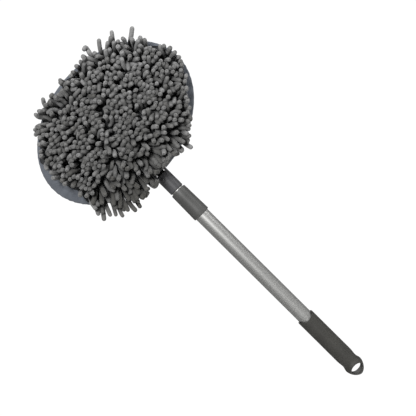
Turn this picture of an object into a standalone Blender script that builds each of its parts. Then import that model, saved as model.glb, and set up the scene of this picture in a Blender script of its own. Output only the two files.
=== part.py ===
"""Chenille duster: an oval microfibre head on a folding neck and a telescopic pole.

The pole stands along +Z, hand grip below and head above. The chenille face looks towards -Y
and +X is to the right of it. The origin is on the pole's axis, halfway up the hand grip.
Each body of the mechanism hangs from an empty that lies on its joint's axis.
"""

from math import acos, cos, degrees, pi, radians, sin, sqrt

import bmesh
import bpy
from mathutils import Matrix, Vector

# ---- Driving dimensions, in metres ----

FIT = 0.0003  # gap between two pieces that touch

# Hand grip
GRIP_LENGTH = 0.1133
GRIP_WALL = 0.0021
WAIST_DEPTH = 0.0009
WAIST_ABOVE_END = 0.0254
EYE_SWELL = 0.0008
EYE_ABOVE_END = 0.0172
EYE_ROUNDNESS = 1.7  # power of the rounded end: 2 is an ellipse, less is more pointed
GRIP_EDGE_R = 0.0009
HANGING_HOLE_WIDTH = 0.0183
HANGING_HOLE_HEIGHT = 0.0126
HANGING_HOLE_ABOVE_END = 0.0122
SCALLOP_DEPTH = 0.0050
TUBE_SEAT_ABOVE_END = 0.0345

# Pole
OUTER_TUBE_D = 0.0220
TUBE_WALL = 0.0008
TUBE_RUNNING_GAP = 0.0007
BARE_TUBE = 0.2045
BARE_INNER_TUBE = 0.0015
INNER_TUBE_ABOVE_SEAT = 0.0320
COLLAR_LENGTH = 0.0475
COLLAR_TOP_WALL = 0.00125
COLLAR_BOTTOM_WALL = 0.0021
COLLAR_EDGE_R = 0.0018
COLLAR_SHOULDER = 0.0050

# Twist lock
LOCK_OFFSET = 0.0008
LOCK_PLAY = 0.0014
JOURNAL_D = 0.0120
JOURNAL_LENGTH = 0.0140
PLUG_SHANK = 0.0220
PLUG_FLANGE = 0.0030
RING_SPLIT = 0.0020
CAP_THICKNESS = 0.0015
SCREW_D = 0.0035
SCREW_LENGTH = 0.0100
SCREW_HEAD_D = 0.0068
SCREW_HEAD = 0.0022

# Neck, its pivot and its button
NECK_WALL = 0.0016
NECK_SOCKET = 0.0300
NECK_FLOOR = 0.0017
NECK_EDGE_R = 0.0012
EAR_THICKNESS = 0.0038
EAR_MARGIN = 0.0008
KNUCKLE_R = 0.0082
KNUCKLE_ABOVE_SLOT = 0.0016
WASHER_THICKNESS = 0.0006
WASHER_D = 0.0140
BOLT_D = 0.0040
BOLT_HEAD_D = 0.0070
BOLT_HEAD = 0.0014
NUT_WIDTH = 0.0070
NUT_THICKNESS = 0.0016
EAR_FLOOR = 0.0016
BUTTON_D = 0.0064
BUTTON_PROUD = 0.0012
BUTTON_BELOW_SLOT = 0.0075
BUTTON_ANGLE = 25.0
BUTTON_FLANGE_D = 0.0080
BUTTON_FLANGE = 0.0010
SPRING_WIDTH = 0.0050
SPRING_THICKNESS = 0.0005
SPRING_LENGTH = 0.0200

# Head plate
PLATE_PLAY = 0.0045
PLATE_THICKNESS = 0.0030
RIB_DEPTH = 0.0050
RIB_WIDTH = 0.0025
RIM_INSET = 0.0010
RIB_RING_SHARE = 0.62
SPOKE_ANGLES = (0, 60, 90, 120, 180, 240, 270, 300)
TONGUE_THICKNESS = 0.0060
NOTCH_SIDE_PLAY = 0.0014
NOTCH_TOP_PLAY = 0.0019

# Cover
COVER_WIDTH = 0.2540
COVER_HEIGHT = 0.1850
COVER_BELOW_PIVOT = 0.0064
COVER_SHIFT = 0.0060
COVER_TURN = 4.0
PANEL_THICKNESS = 0.0015
PANEL_INSET = 0.0010
DOME_RISE = 0.0145
DOME_POWER = 2.6
BAND_THICKNESS = 0.0012
BAND_BULGE = 0.0008
BAND_RETURN = 0.0040
BACK_PANEL_SIDE = 0.0570
BACK_PANEL_END = 0.0505
HEM_D = 0.0036
PANEL_EDGE_BELOW_PIVOT = 0.0028
PILE_EDGE_DEPTH = 0.0170
PILE_LENGTH = 0.0230
# How far the pile hangs out past the cover, by direction: degrees from +X towards +Z
PILE_OVERHANG = {
    0: 0.001,
    30: 0.009,
    60: 0.014,
    85: 0.008,
    100: 0.005,
    120: 0.013,
    145: 0.006,
    165: -0.004,
    185: -0.006,
    210: 0.008,
    232: 0.019,
    252: 0.008,
    270: -0.003,
    290: 0.007,
    320: 0.002,
    340: 0.001,
}

ROUND_SEGMENTS = 48
SMALL_SEGMENTS = 24
OVAL_SEGMENTS = 64
DOME_RINGS = (0.30, 0.55, 0.75, 0.90)

# ---- Places worked out from the dimensions ----

OUTER_R = OUTER_TUBE_D / 2
OUTER_BORE_R = OUTER_R - TUBE_WALL
INNER_R = OUTER_BORE_R - TUBE_RUNNING_GAP
INNER_BORE_R = INNER_R - TUBE_WALL
GRIP_R = OUTER_R + GRIP_WALL
NECK_R = INNER_R + NECK_WALL

GRIP_END_Z = -GRIP_LENGTH / 2
GRIP_TOP_Z = GRIP_LENGTH / 2
TUBE_SEAT_Z = GRIP_END_Z + TUBE_SEAT_ABOVE_END
COLLAR_BOTTOM_Z = GRIP_TOP_Z + BARE_TUBE
COLLAR_TOP_Z = COLLAR_BOTTOM_Z + COLLAR_LENGTH
OUTER_TUBE_TOP_Z = COLLAR_TOP_Z - COLLAR_SHOULDER - FIT
NECK_BOTTOM_Z = COLLAR_TOP_Z + BARE_INNER_TUBE
SLOT_FLOOR_Z = NECK_BOTTOM_Z + NECK_SOCKET
SOCKET_TOP_Z = SLOT_FLOOR_Z - NECK_FLOOR
PIVOT_Z = SLOT_FLOOR_Z + KNUCKLE_ABOVE_SLOT + KNUCKLE_R
INNER_TUBE_BOTTOM_Z = TUBE_SEAT_Z + INNER_TUBE_ABOVE_SEAT
BUTTON_Z = SLOT_FLOOR_Z - BUTTON_BELOW_SLOT

FLANGE_BOTTOM_Z = INNER_TUBE_BOTTOM_Z - FIT - PLUG_FLANGE
JOURNAL_BOTTOM_Z = FLANGE_BOTTOM_Z - JOURNAL_LENGTH
RING_BORE_R = JOURNAL_D / 2 + LOCK_PLAY
RING_R = OUTER_BORE_R - FIT

HALF_SLOT = NECK_R - EAR_THICKNESS
EAR_R = KNUCKLE_R + EAR_MARGIN
KNUCKLE_WIDTH = 2 * (HALF_SLOT - WASHER_THICKNESS - 2 * FIT)
BOLT_HOLE_R = BOLT_D / 2 + FIT
EAR_SEAT_X = HALF_SLOT + EAR_FLOOR

HEAD_ABOVE_PIVOT = COVER_HEIGHT / 2 - COVER_BELOW_PIVOT
PLATE_WIDTH = COVER_WIDTH - 2 * (PLATE_PLAY + COVER_SHIFT)
TURN_PLAY = 1.14 * (COVER_WIDTH - COVER_HEIGHT) * sin(radians(COVER_TURN))
PLATE_HEIGHT = COVER_HEIGHT - 2 * (PLATE_PLAY + TURN_PLAY)
OPENING_WIDTH = COVER_WIDTH - 2 * BACK_PANEL_SIDE
OPENING_HEIGHT = COVER_HEIGHT - 2 * BACK_PANEL_END
NOTCH_HALF = NECK_R + NOTCH_SIDE_PLAY
NOTCH_ABOVE_PIVOT = NECK_R + NOTCH_TOP_PLAY

PLATE_FRONT_Y = -PLATE_THICKNESS
FOAM_BACK_Y = PLATE_FRONT_Y - FIT
PANEL_BACK_Y = -(NECK_R + 2 * FIT)
PANEL_FRONT_Y = PANEL_BACK_Y - PANEL_THICKNESS
FOAM_EDGE_Y = PANEL_BACK_Y + FIT
BACK_PANEL_Y = RIB_DEPTH + FIT
BACK_PANEL_OUT_Y = BACK_PANEL_Y + BAND_THICKNESS


# ---- Scene and mesh helpers ----

def clear_scene():
    for thing in list(bpy.data.objects):
        bpy.data.objects.remove(thing, do_unlink=True)


def material(name, colour, roughness, metallic=0.0):
    """A Principled material with one colour."""
    mat = bpy.data.materials.new(name)
    mat.use_nodes = True
    shader = mat.node_tree.nodes["Principled BSDF"]
    shader.inputs["Base Color"].default_value = (*colour, 1.0)
    shader.inputs["Roughness"].default_value = roughness
    shader.inputs["Metallic"].default_value = metallic
    mat.diffuse_color = (*colour, 1.0)
    return mat


def empty(name, location=(0, 0, 0), parent=None, rotation=(0, 0, 0)):
    """An axis that a body hangs from."""
    axis = bpy.data.objects.new(name, None)
    bpy.context.scene.collection.objects.link(axis)
    axis.parent = parent
    axis.location = location
    axis.rotation_euler = rotation
    axis.empty_display_size = 0.02
    return axis


def piece(name, bm, mat, parent, location=(0, 0, 0), rotation=(0, 0, 0)):
    """Turns a bmesh into a named object with its material, under its parent."""
    bmesh.ops.recalc_face_normals(bm, faces=bm.faces)
    mesh = bpy.data.meshes.new(name)
    bm.to_mesh(mesh)
    bm.free()
    mesh.materials.append(mat)
    mesh.shade_smooth()
    mesh.set_sharp_from_angle(angle=radians(35))
    thing = bpy.data.objects.new(name, mesh)
    bpy.context.scene.collection.objects.link(thing)
    thing.parent = parent
    thing.location = location
    thing.rotation_euler = rotation
    return thing


def tool(name, bm, parent=None, location=(0, 0, 0), rotation=(0, 0, 0)):
    """A hidden shape that cuts or adds to a piece."""
    thing = piece(name, bm, CUTTER_MATERIAL, parent, location, rotation)
    thing.hide_render = True
    thing.display_type = "WIRE"
    return thing


def boolean(target, operand, operation="DIFFERENCE"):
    step = target.modifiers.new(operand.name, "BOOLEAN")
    step.object = operand
    step.operation = operation
    step.solver = "EXACT"


def turned(profile, segments=ROUND_SEGMENTS):
    """A solid turned about Z from a closed outline of (radius, height) points."""
    bm = bmesh.new()
    verts = [bm.verts.new((radius, 0, height)) for radius, height in profile]
    edges = [bm.edges.new((verts[i], verts[(i + 1) % len(verts)])) for i in range(len(verts))]
    bmesh.ops.spin(
        bm, geom=verts + edges, cent=(0, 0, 0), axis=(0, 0, 1), dvec=(0, 0, 0),
        angle=2 * pi, steps=segments, use_merge=True,
    )
    bmesh.ops.remove_doubles(bm, verts=bm.verts, dist=1e-6)
    bmesh.ops.dissolve_degenerate(bm, edges=bm.edges, dist=1e-7)
    return bm


def arc(centre, radius, start, end, steps=3):
    """Points on an arc, as (x, y), from one angle to another in degrees."""
    angles = [radians(start + (end - start) * i / steps) for i in range(steps + 1)]
    return [(centre[0] + radius * cos(a), centre[1] + radius * sin(a)) for a in angles]


def rod(radius, start, end, axis="X", segments=SMALL_SEGMENTS):
    """A round bar along X, Y or Z from start to end."""
    turn = {"X": Matrix.Rotation(pi / 2, 4, "Y"), "Y": Matrix.Rotation(pi / 2, 4, "X"), "Z": Matrix()}
    middle = Vector([(start + end) / 2 if letter == axis else 0 for letter in "XYZ"])
    bm = bmesh.new()
    bmesh.ops.create_cone(
        bm, cap_ends=True, segments=segments, radius1=radius, radius2=radius,
        depth=abs(end - start),
        matrix=Matrix.Translation(middle) @ turn[axis] @ Matrix.Rotation(pi / segments, 4, "Z"),
    )
    return bm


def block(low, high):
    """A box between two corners."""
    low, high = Vector(low), Vector(high)
    size = Matrix.Diagonal((*(high - low), 1))
    bm = bmesh.new()
    bmesh.ops.create_cube(bm, size=1, matrix=Matrix.Translation((low + high) / 2) @ size)
    return bm


def extruded(outline, start, end, place):
    """A flat outline of (u, v) points, extruded from start to end. place(u, v, w) gives the point."""
    bm = bmesh.new()
    face = bm.faces.new([bm.verts.new(place(u, v, start)) for u, v in outline])
    grown = bmesh.ops.extrude_face_region(bm, geom=[face])["geom"]
    move = Vector(place(0, 0, end)) - Vector(place(0, 0, start))
    bmesh.ops.translate(bm, vec=move, verts=[g for g in grown if isinstance(g, bmesh.types.BMVert)])
    return bm


def oval_ring(bm, half_width, half_height, y):
    """One ring of points round an upright oval. y is a depth, or a function of (x, z)."""
    ring = []
    for i in range(OVAL_SEGMENTS):
        angle = 2 * pi * i / OVAL_SEGMENTS
        grow_x = half_width(angle) if callable(half_width) else half_width
        grow_z = half_height(angle) if callable(half_height) else half_height
        x, z = grow_x * cos(angle), grow_z * sin(angle)
        ring.append(bm.verts.new((x, y(x, z) if callable(y) else y, z)))
    return ring


def joined_rings(rings, closed=False):
    """Bridges oval rings into a skin: a closed loop of rings, or a stack whose ends are filled."""
    bm = bmesh.new()
    loops = [oval_ring(bm, *ring) for ring in rings]
    pairs = list(zip(loops, loops[1:]))
    if closed:
        pairs.append((loops[-1], loops[0]))
    for one, two in pairs:
        for i in range(OVAL_SEGMENTS):
            j = (i + 1) % OVAL_SEGMENTS
            bm.faces.new((one[i], one[j], two[j], two[i]))
    if not closed:
        bm.faces.new(loops[0])
        bm.faces.new(loops[-1])
    return bm


# ---- Handle: grip, outer tube and collar ----

def grip_profile():
    """Outline of the hand grip: rounded end, eye, waist, straight hold, rounded top, tube seat."""
    eye_z = GRIP_END_Z + EYE_ABOVE_END
    waist_z = GRIP_END_Z + WAIST_ABOVE_END
    hold_z = waist_z + WAIST_DEPTH * 12
    eye_r, waist_r = GRIP_R + EYE_SWELL, GRIP_R - WAIST_DEPTH
    outline = [(0, GRIP_END_Z)]
    for i in range(1, 8):
        angle = i * pi / 14
        radius = eye_r * sin(angle) ** (2 / EYE_ROUNDNESS)
        drop = EYE_ABOVE_END * cos(angle) ** (2 / EYE_ROUNDNESS)
        outline.append((radius, eye_z - drop))
    for i in range(1, 5):
        blend = (1 - cos(pi * i / 4)) / 2
        outline.append((eye_r + (waist_r - eye_r) * blend, eye_z + (waist_z - eye_z) * i / 4))
    for i in range(1, 4):
        blend = (1 - cos(pi * i / 3)) / 2
        outline.append((waist_r + WAIST_DEPTH * blend, waist_z + (hold_z - waist_z) * i / 3))
    outline += arc((GRIP_R - GRIP_EDGE_R, GRIP_TOP_Z - GRIP_EDGE_R), GRIP_EDGE_R, 0, 90)
    bore = OUTER_R + FIT
    outline += [(bore, GRIP_TOP_Z), (bore, TUBE_SEAT_Z - FIT), (0, TUBE_SEAT_Z - FIT)]
    return outline


def make_hand_grip(parent):
    grip = piece("hand_grip", turned(grip_profile()), GRIP_MATERIAL, parent)
    reach = 2 * GRIP_R
    hole = rod(0.5, -reach, reach, "Y", ROUND_SEGMENTS)
    stretch = Matrix.Diagonal((HANGING_HOLE_WIDTH, 1, HANGING_HOLE_HEIGHT, 1))
    bmesh.ops.transform(hole, matrix=stretch, verts=hole.verts)
    hole_z = GRIP_END_Z + HANGING_HOLE_ABOVE_END
    boolean(grip, tool("hanging_hole_cutter", hole, parent, (0, 0, hole_z)))
    scallop = rod(1.0, -reach, reach, "Y", ROUND_SEGMENTS)
    stretch = Matrix.Diagonal((OUTER_R, 1, SCALLOP_DEPTH, 1))
    bmesh.ops.transform(scallop, matrix=stretch, verts=scallop.verts)
    boolean(grip, tool("scallop_cutter", scallop, parent, (0, 0, GRIP_TOP_Z)))


def tube(outer_r, bottom, top):
    inner_r = outer_r - TUBE_WALL
    return turned([(outer_r, bottom), (outer_r, top), (inner_r, top), (inner_r, bottom)])


def make_collar(parent):
    """Ferrule over the end of the outer tube: tapered outside, stepped bore inside."""
    bottom_r, top_r, edge = OUTER_R + COLLAR_BOTTOM_WALL, OUTER_R + COLLAR_TOP_WALL, COLLAR_EDGE_R
    tube_bore, guide_bore = OUTER_R + FIT, INNER_R + FIT
    shoulder_z = COLLAR_TOP_Z - COLLAR_SHOULDER
    outline = [(tube_bore, COLLAR_BOTTOM_Z)]
    outline += arc((bottom_r - edge, COLLAR_BOTTOM_Z + edge), edge, -90, 0)
    outline += arc((top_r - edge, COLLAR_TOP_Z - edge), edge, 0, 90)
    outline += [(guide_bore, COLLAR_TOP_Z), (guide_bore, shoulder_z), (tube_bore, shoulder_z)]
    piece("collar", turned(outline), COLLAR_MATERIAL, parent)


# ---- Twist lock at the foot of the inner tube ----

def make_cam_ring(parent):
    bottom, top = JOURNAL_BOTTOM_Z + FIT, FLANGE_BOTTOM_Z - FIT
    ring = piece("cam_ring", rod(RING_R, bottom, top, "Z", ROUND_SEGMENTS), RING_MATERIAL, parent)
    reach = RING_R
    bore = rod(RING_BORE_R, bottom - reach, top + reach, "Z", ROUND_SEGMENTS)
    boolean(ring, tool("ring_bore_cutter", bore, parent, (LOCK_OFFSET, 0, 0)))
    split = block((-2 * reach, -RING_SPLIT / 2, bottom - reach), (0, RING_SPLIT / 2, top + reach))
    boolean(ring, tool("ring_split_cutter", split, parent))


def make_cam_plug(parent):
    """Shank in the inner tube, a flange under it, and an eccentric journal with a screw hole."""
    shank_r, screw_hole_r = INNER_BORE_R - FIT, SCREW_D / 2 + FIT
    shank_top = INNER_TUBE_BOTTOM_Z + PLUG_SHANK
    flange_top = FLANGE_BOTTOM_Z + PLUG_FLANGE
    outline = [(0, FLANGE_BOTTOM_Z), (INNER_R, FLANGE_BOTTOM_Z), (INNER_R, flange_top)]
    outline += [(shank_r, flange_top), (shank_r, shank_top), (0, shank_top)]
    plug = piece("cam_plug", turned(outline), PLUG_MATERIAL, parent)
    overlap = PLUG_FLANGE / 2
    journal = rod(JOURNAL_D / 2, JOURNAL_BOTTOM_Z, FLANGE_BOTTOM_Z + overlap, "Z", ROUND_SEGMENTS)
    boolean(plug, tool("journal_shape", journal, parent, (LOCK_OFFSET, 0, 0)), "UNION")
    hole_top = JOURNAL_BOTTOM_Z + SCREW_LENGTH + FIT
    hole = rod(screw_hole_r, JOURNAL_BOTTOM_Z - overlap, hole_top, "Z")
    boolean(plug, tool("screw_hole_cutter", hole, parent, (LOCK_OFFSET, 0, 0)))


def make_cam_cap(parent):
    top = JOURNAL_BOTTOM_Z - FIT
    bottom = top - CAP_THICKNESS
    cap_r, hole_r = RING_R - LOCK_OFFSET - FIT, SCREW_D / 2 + FIT
    outline = [(hole_r, bottom), (cap_r, bottom), (cap_r, top), (hole_r, top)]
    piece("cam_cap", turned(outline), PLUG_MATERIAL, parent, (LOCK_OFFSET, 0, 0))
    head_top = bottom - FIT
    head_r, shank_r = SCREW_HEAD_D / 2, SCREW_D / 2
    shank_top = JOURNAL_BOTTOM_Z + SCREW_LENGTH
    outline = [(0, head_top - SCREW_HEAD)]
    outline += [(head_r * 0.8, head_top - SCREW_HEAD), (head_r, head_top - SCREW_HEAD / 2)]
    outline += [(head_r, head_top), (shank_r, head_top), (shank_r, shank_top), (0, shank_top)]
    piece("cap_screw", turned(outline, SMALL_SEGMENTS), STEEL_MATERIAL, parent, (LOCK_OFFSET, 0, 0))


# ---- Neck: clevis, pivot and release button ----

def ear_outline():
    """Side view of the neck: square below, each ear rounded about the pivot."""
    wide = 2 * NECK_R
    below = [(-wide, NECK_BOTTOM_Z - wide), (wide, NECK_BOTTOM_Z - wide), (wide, PIVOT_Z)]
    return below + arc((0, PIVOT_Z), EAR_R, 0, 180, 15) + [(-wide, PIVOT_Z)]


def hexagon(width):
    corner = width / sqrt(3)
    return [(corner * cos(radians(60 * i)), corner * sin(radians(60 * i))) for i in range(6)]


def along_x(u, v, w):
    return (w, u, v)


def along_y(u, v, w):
    return (u, w, v)


def make_neck_clevis(parent, button_hole):
    bore, edge = INNER_R + FIT, NECK_EDGE_R
    top = PIVOT_Z + EAR_R + edge
    outline = [(bore, NECK_BOTTOM_Z)]
    outline += arc((NECK_R - edge, NECK_BOTTOM_Z + edge), edge, -90, 0)
    outline += [(NECK_R, top), (0, top), (0, SOCKET_TOP_Z), (bore, SOCKET_TOP_Z)]
    neck = piece("neck_clevis", turned(outline), NECK_MATERIAL, parent)
    wide = 2 * NECK_R
    rounding = extruded(ear_outline(), -wide, wide, along_x)
    boolean(neck, tool("ear_rounding_shape", rounding, parent), "INTERSECT")
    slot = block((-HALF_SLOT, -wide, SLOT_FLOOR_Z), (HALF_SLOT, wide, top + wide))
    boolean(neck, tool("neck_slot_cutter", slot, parent))
    at_pivot = (0, 0, PIVOT_Z)
    hole = rod(BOLT_HOLE_R, -wide, wide)
    boolean(neck, tool("pivot_hole_cutter", hole, parent, at_pivot))
    head_seat = rod(BOLT_HEAD_D / 2 + FIT, EAR_SEAT_X, wide)
    boolean(neck, tool("bolt_head_cutter", head_seat, parent, at_pivot))
    nut_seat = extruded(hexagon(NUT_WIDTH + 2 * FIT), -wide, -EAR_SEAT_X, along_x)
    boolean(neck, tool("nut_seat_cutter", nut_seat, parent, at_pivot))
    boolean(neck, button_hole)


def make_pivot_hardware(parent):
    at_pivot = (0, 0, PIVOT_Z)
    head_start = EAR_SEAT_X + FIT
    nut_start = -(EAR_SEAT_X + FIT)
    nut_end = nut_start - NUT_THICKNESS
    head_r, shank_r = BOLT_HEAD_D / 2, BOLT_D / 2
    outline = [(0, nut_end), (shank_r, nut_end), (shank_r, head_start), (head_r, head_start)]
    outline += [(head_r, head_start + BOLT_HEAD / 2), (head_r * 0.75, head_start + BOLT_HEAD)]
    outline += [(0, head_start + BOLT_HEAD)]
    upright = turned(outline, SMALL_SEGMENTS)
    piece("pivot_bolt", upright, STEEL_MATERIAL, parent, at_pivot, (0, pi / 2, 0))
    nut = piece(
        "pivot_nut", extruded(hexagon(NUT_WIDTH), nut_end, nut_start, along_x),
        STEEL_MATERIAL, parent, at_pivot,
    )
    thread = rod(BOLT_HOLE_R, nut_end - BOLT_D, nut_start + BOLT_D)
    boolean(nut, tool("nut_thread_cutter", thread, parent, at_pivot))


def make_friction_washers(parent):
    """A thin washer on each side of the knuckle."""
    outer_r, hole_r = WASHER_D / 2, BOLT_HOLE_R
    inside = KNUCKLE_WIDTH / 2 + FIT
    outside = inside + WASHER_THICKNESS
    for name, side in (("friction_washer_right", 1), ("friction_washer_left", -1)):
        outline = [(hole_r, inside), (outer_r, inside), (outer_r, outside), (hole_r, outside)]
        ring = turned([(radius, side * height) for radius, height in outline], SMALL_SEGMENTS)
        piece(name, ring, WASHER_MATERIAL, parent, (0, 0, PIVOT_Z), (0, pi / 2, 0))


def button_rotation():
    """Turns a shape's +Z to point from the pole's axis out through the button."""
    outward = Vector((-sin(radians(BUTTON_ANGLE)), -cos(radians(BUTTON_ANGLE)), 0))
    return Vector((0, 0, 1)).rotation_difference(outward).to_euler()


def make_button_hole(parent):
    """Cutter for the button's hole, through the neck's wall and the inner tube's."""
    hole = rod(BUTTON_D / 2 + FIT, INNER_BORE_R / 2, 2 * NECK_R, "Z")
    return tool("button_hole_cutter", hole, parent, (0, 0, BUTTON_Z), button_rotation())


def make_inner_tube(parent, button_hole):
    inner = tube(INNER_R, INNER_TUBE_BOTTOM_Z, SOCKET_TOP_Z - FIT)
    boolean(piece("inner_tube", inner, TUBE_MATERIAL, parent), button_hole)


def button_flange_inner():
    """Distance from the pole's axis to the inner face of the button's flange."""
    corner = sqrt(INNER_BORE_R ** 2 - (BUTTON_FLANGE_D / 2) ** 2)
    return corner - FIT - BUTTON_FLANGE


def make_release_button(parent):
    """Domed pin with a flange that stays inside the inner tube."""
    inner = button_flange_inner()
    flange_top = inner + BUTTON_FLANGE
    pin_r, top = BUTTON_D / 2, NECK_R + BUTTON_PROUD
    dome = BUTTON_PROUD
    outline = [(0, inner), (BUTTON_FLANGE_D / 2, inner), (BUTTON_FLANGE_D / 2, flange_top)]
    outline += [(pin_r, flange_top), (pin_r, top - dome)]
    outline += [(pin_r * cos(radians(a)), top - dome + dome * sin(radians(a))) for a in (30, 55, 75)]
    outline += [(0, top)]
    button = turned(outline, SMALL_SEGMENTS)
    piece("release_button", button, BUTTON_MATERIAL, parent, (0, 0, BUTTON_Z), button_rotation())


def thick_path(points, thickness):
    """Outline of a strip of even thickness along a line of points."""
    path = [Vector(p) for p in points]
    sides = ([], [])
    for i, point in enumerate(path):
        along = path[min(i + 1, len(path) - 1)] - path[max(i - 1, 0)]
        across = Vector((-along.y, along.x)).normalized() * thickness / 2
        sides[0].append(point + across)
        sides[1].append(point - across)
    return [tuple(p) for p in sides[0] + sides[1][::-1]]


def make_button_spring(parent):
    """Leaf spring bent like a hairpin: one leg behind the button, the other on the far wall."""
    half = SPRING_THICKNESS / 2
    front = button_flange_inner() - FIT - half
    back = -(sqrt(INNER_BORE_R ** 2 - (SPRING_WIDTH / 2) ** 2) - FIT - half)
    bend_r = (front - back) / 2
    bend_z = -SPRING_LENGTH + bend_r
    points = [(front, BUTTON_D / 2), (front, 0)]
    points += arc(((front + back) / 2, bend_z), bend_r, 0, -180, 12)
    points += [(back, 0), (back, BUTTON_D / 2)]
    outward = radians(BUTTON_ANGLE)
    strip = extruded(
        thick_path(points, SPRING_THICKNESS), -SPRING_WIDTH / 2, SPRING_WIDTH / 2,
        lambda u, v, w: (w, -u, v),
    )
    at_button = (0, 0, BUTTON_Z)
    piece("button_spring", strip, STEEL_MATERIAL, parent, at_button, (0, 0, -outward))


# ---- Head plate ----

def tongue_outline():
    """Side view of the tongue: straight from the plate down to a round knuckle on the pivot."""
    front = PLATE_FRONT_Y + FIT
    back = front + TONGUE_THICKNESS
    top = NOTCH_ABOVE_PIVOT + NOTCH_HALF
    start, end = degrees(acos(back / KNUCKLE_R)), degrees(acos(front / KNUCKLE_R)) - 360
    return arc((0, 0), KNUCKLE_R, start, end, 32) + [(front, top), (back, top)]


def spoke_outline(half_w, half_h):
    """Star of spokes from the plate's middle to its rim: two outer corners each, inner ones between."""
    outline = []
    angles = [radians(a) for a in SPOKE_ANGLES]
    for number, angle in enumerate(angles):
        following = angles[(number + 1) % len(angles)] + (2 * pi if number + 1 == len(angles) else 0)
        along, across = Vector((cos(angle), sin(angle))), Vector((-sin(angle), cos(angle)))
        reach = half_w * half_h / sqrt((half_h * along.x) ** 2 + (half_w * along.y) ** 2) - RIB_WIDTH / 2
        outline += [along * reach - across * RIB_WIDTH / 2, along * reach + across * RIB_WIDTH / 2]
        middle, half_gap = (angle + following) / 2, (following - angle) / 2
        outline.append(Vector((cos(middle), sin(middle))) * RIB_WIDTH / 2 / sin(half_gap))
    return [tuple(point) for point in outline]


def make_head_plate(parent):
    """Oval plate with a rim and ribs behind, and a tongue with the pivot's knuckle."""
    half_w, half_h = PLATE_WIDTH / 2, PLATE_HEIGHT / 2
    sunk = PLATE_THICKNESS / 2
    disc = joined_rings([(half_w, half_h, PLATE_FRONT_Y), (half_w, half_h, 0)])
    at_centre = (0, 0, HEAD_ABOVE_PIVOT)
    plate = piece("head_plate", disc, PLATE_MATERIAL, parent, at_centre)

    def oval_rib(name, share_w, share_h):
        rings = [
            (share_w, share_h, -sunk), (share_w, share_h, RIB_DEPTH),
            (share_w - RIB_WIDTH, share_h - RIB_WIDTH, RIB_DEPTH),
            (share_w - RIB_WIDTH, share_h - RIB_WIDTH, -sunk),
        ]
        rib = tool(name, joined_rings(rings, closed=True), parent, at_centre)
        boolean(plate, rib, "UNION")

    oval_rib("rim_shape", half_w - RIM_INSET, half_h - RIM_INSET)
    oval_rib("inner_rib_shape", half_w * RIB_RING_SHARE, half_h * RIB_RING_SHARE)
    spokes = extruded(spoke_outline(half_w, half_h), -sunk, RIB_DEPTH - FIT, along_y)
    boolean(plate, tool("spoke_shape", spokes, parent, at_centre), "UNION")

    tongue_half, deep = KNUCKLE_WIDTH / 2, PLATE_HEIGHT
    notch = block((-NOTCH_HALF, -deep, -deep), (NOTCH_HALF, deep, NOTCH_ABOVE_PIVOT))
    boolean(plate, tool("plate_notch_cutter", notch, parent))
    tongue = extruded(tongue_outline(), -tongue_half, tongue_half, along_x)
    boolean(plate, tool("tongue_shape", tongue, parent), "UNION")
    hole = rod(BOLT_HOLE_R, -deep, deep)
    boolean(plate, tool("knuckle_hole_cutter", hole, parent))


# ---- Cover: foam, chenille, side band and back ----

def share_out(x, z):
    """0 at the middle of the front panel and 1 at its edge."""
    return sqrt((x / (COVER_WIDTH / 2 - PANEL_INSET)) ** 2 + (z / (COVER_HEIGHT / 2 - PANEL_INSET)) ** 2)


def dome(edge_y):
    """Depth of the domed front over a flat edge at edge_y, as a function of (x, z)."""
    return lambda x, z: edge_y - DOME_RISE * (1 - min(share_out(x, z), 1) ** DOME_POWER)


def dome_rings(edge_y):
    half_w, half_h = COVER_WIDTH / 2 - PANEL_INSET, COVER_HEIGHT / 2 - PANEL_INSET
    return [(half_w * share, half_h * share, dome(edge_y)) for share in DOME_RINGS]


def notch_cutter(name, parent, top):
    """Clears the cover and foam round the neck. top is its height above the pivot."""
    deep = COVER_HEIGHT
    return tool(name, block((-NOTCH_HALF, -deep, -deep), (NOTCH_HALF, deep, top)), parent)


def make_foam_pad(centre, hinge):
    inset = BAND_THICKNESS + BAND_BULGE + FIT
    half_w, half_h = COVER_WIDTH / 2 - inset, COVER_HEIGHT / 2 - inset
    rings = dome_rings(FOAM_EDGE_Y) + [(half_w, half_h, FOAM_EDGE_Y), (half_w, half_h, FOAM_BACK_Y)]
    foam = piece("foam_pad", joined_rings(rings), FOAM_MATERIAL, centre)
    boolean(foam, notch_cutter("foam_notch_cutter", hinge, NOTCH_ABOVE_PIVOT))


def make_chenille_backing(centre, hinge):
    half_w, half_h = COVER_WIDTH / 2 - PANEL_INSET, COVER_HEIGHT / 2 - PANEL_INSET
    front = dome_rings(PANEL_FRONT_Y) + [(half_w, half_h, PANEL_FRONT_Y)]
    back = [(half_w, half_h, PANEL_BACK_Y)] + dome_rings(PANEL_BACK_Y)[::-1]
    panel = piece("chenille_backing", joined_rings(front + back), BACKING_MATERIAL, centre)
    boolean(panel, notch_cutter("panel_notch_cutter", hinge, -PANEL_EDGE_BELOW_PIVOT))


def pile_overhang(angle):
    """Smooth reach of the pile past the cover's outline at an angle in radians."""
    direction = degrees(angle) % 360
    stops = sorted(PILE_OVERHANG)
    before = max(stop for stop in stops if stop <= direction)
    after = stops[(stops.index(before) + 1) % len(stops)]
    span = (after - before) % 360
    share = (1 - cos(pi * (direction - before) / span)) / 2
    return PILE_OVERHANG[before] + (PILE_OVERHANG[after] - PILE_OVERHANG[before]) * share


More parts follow.
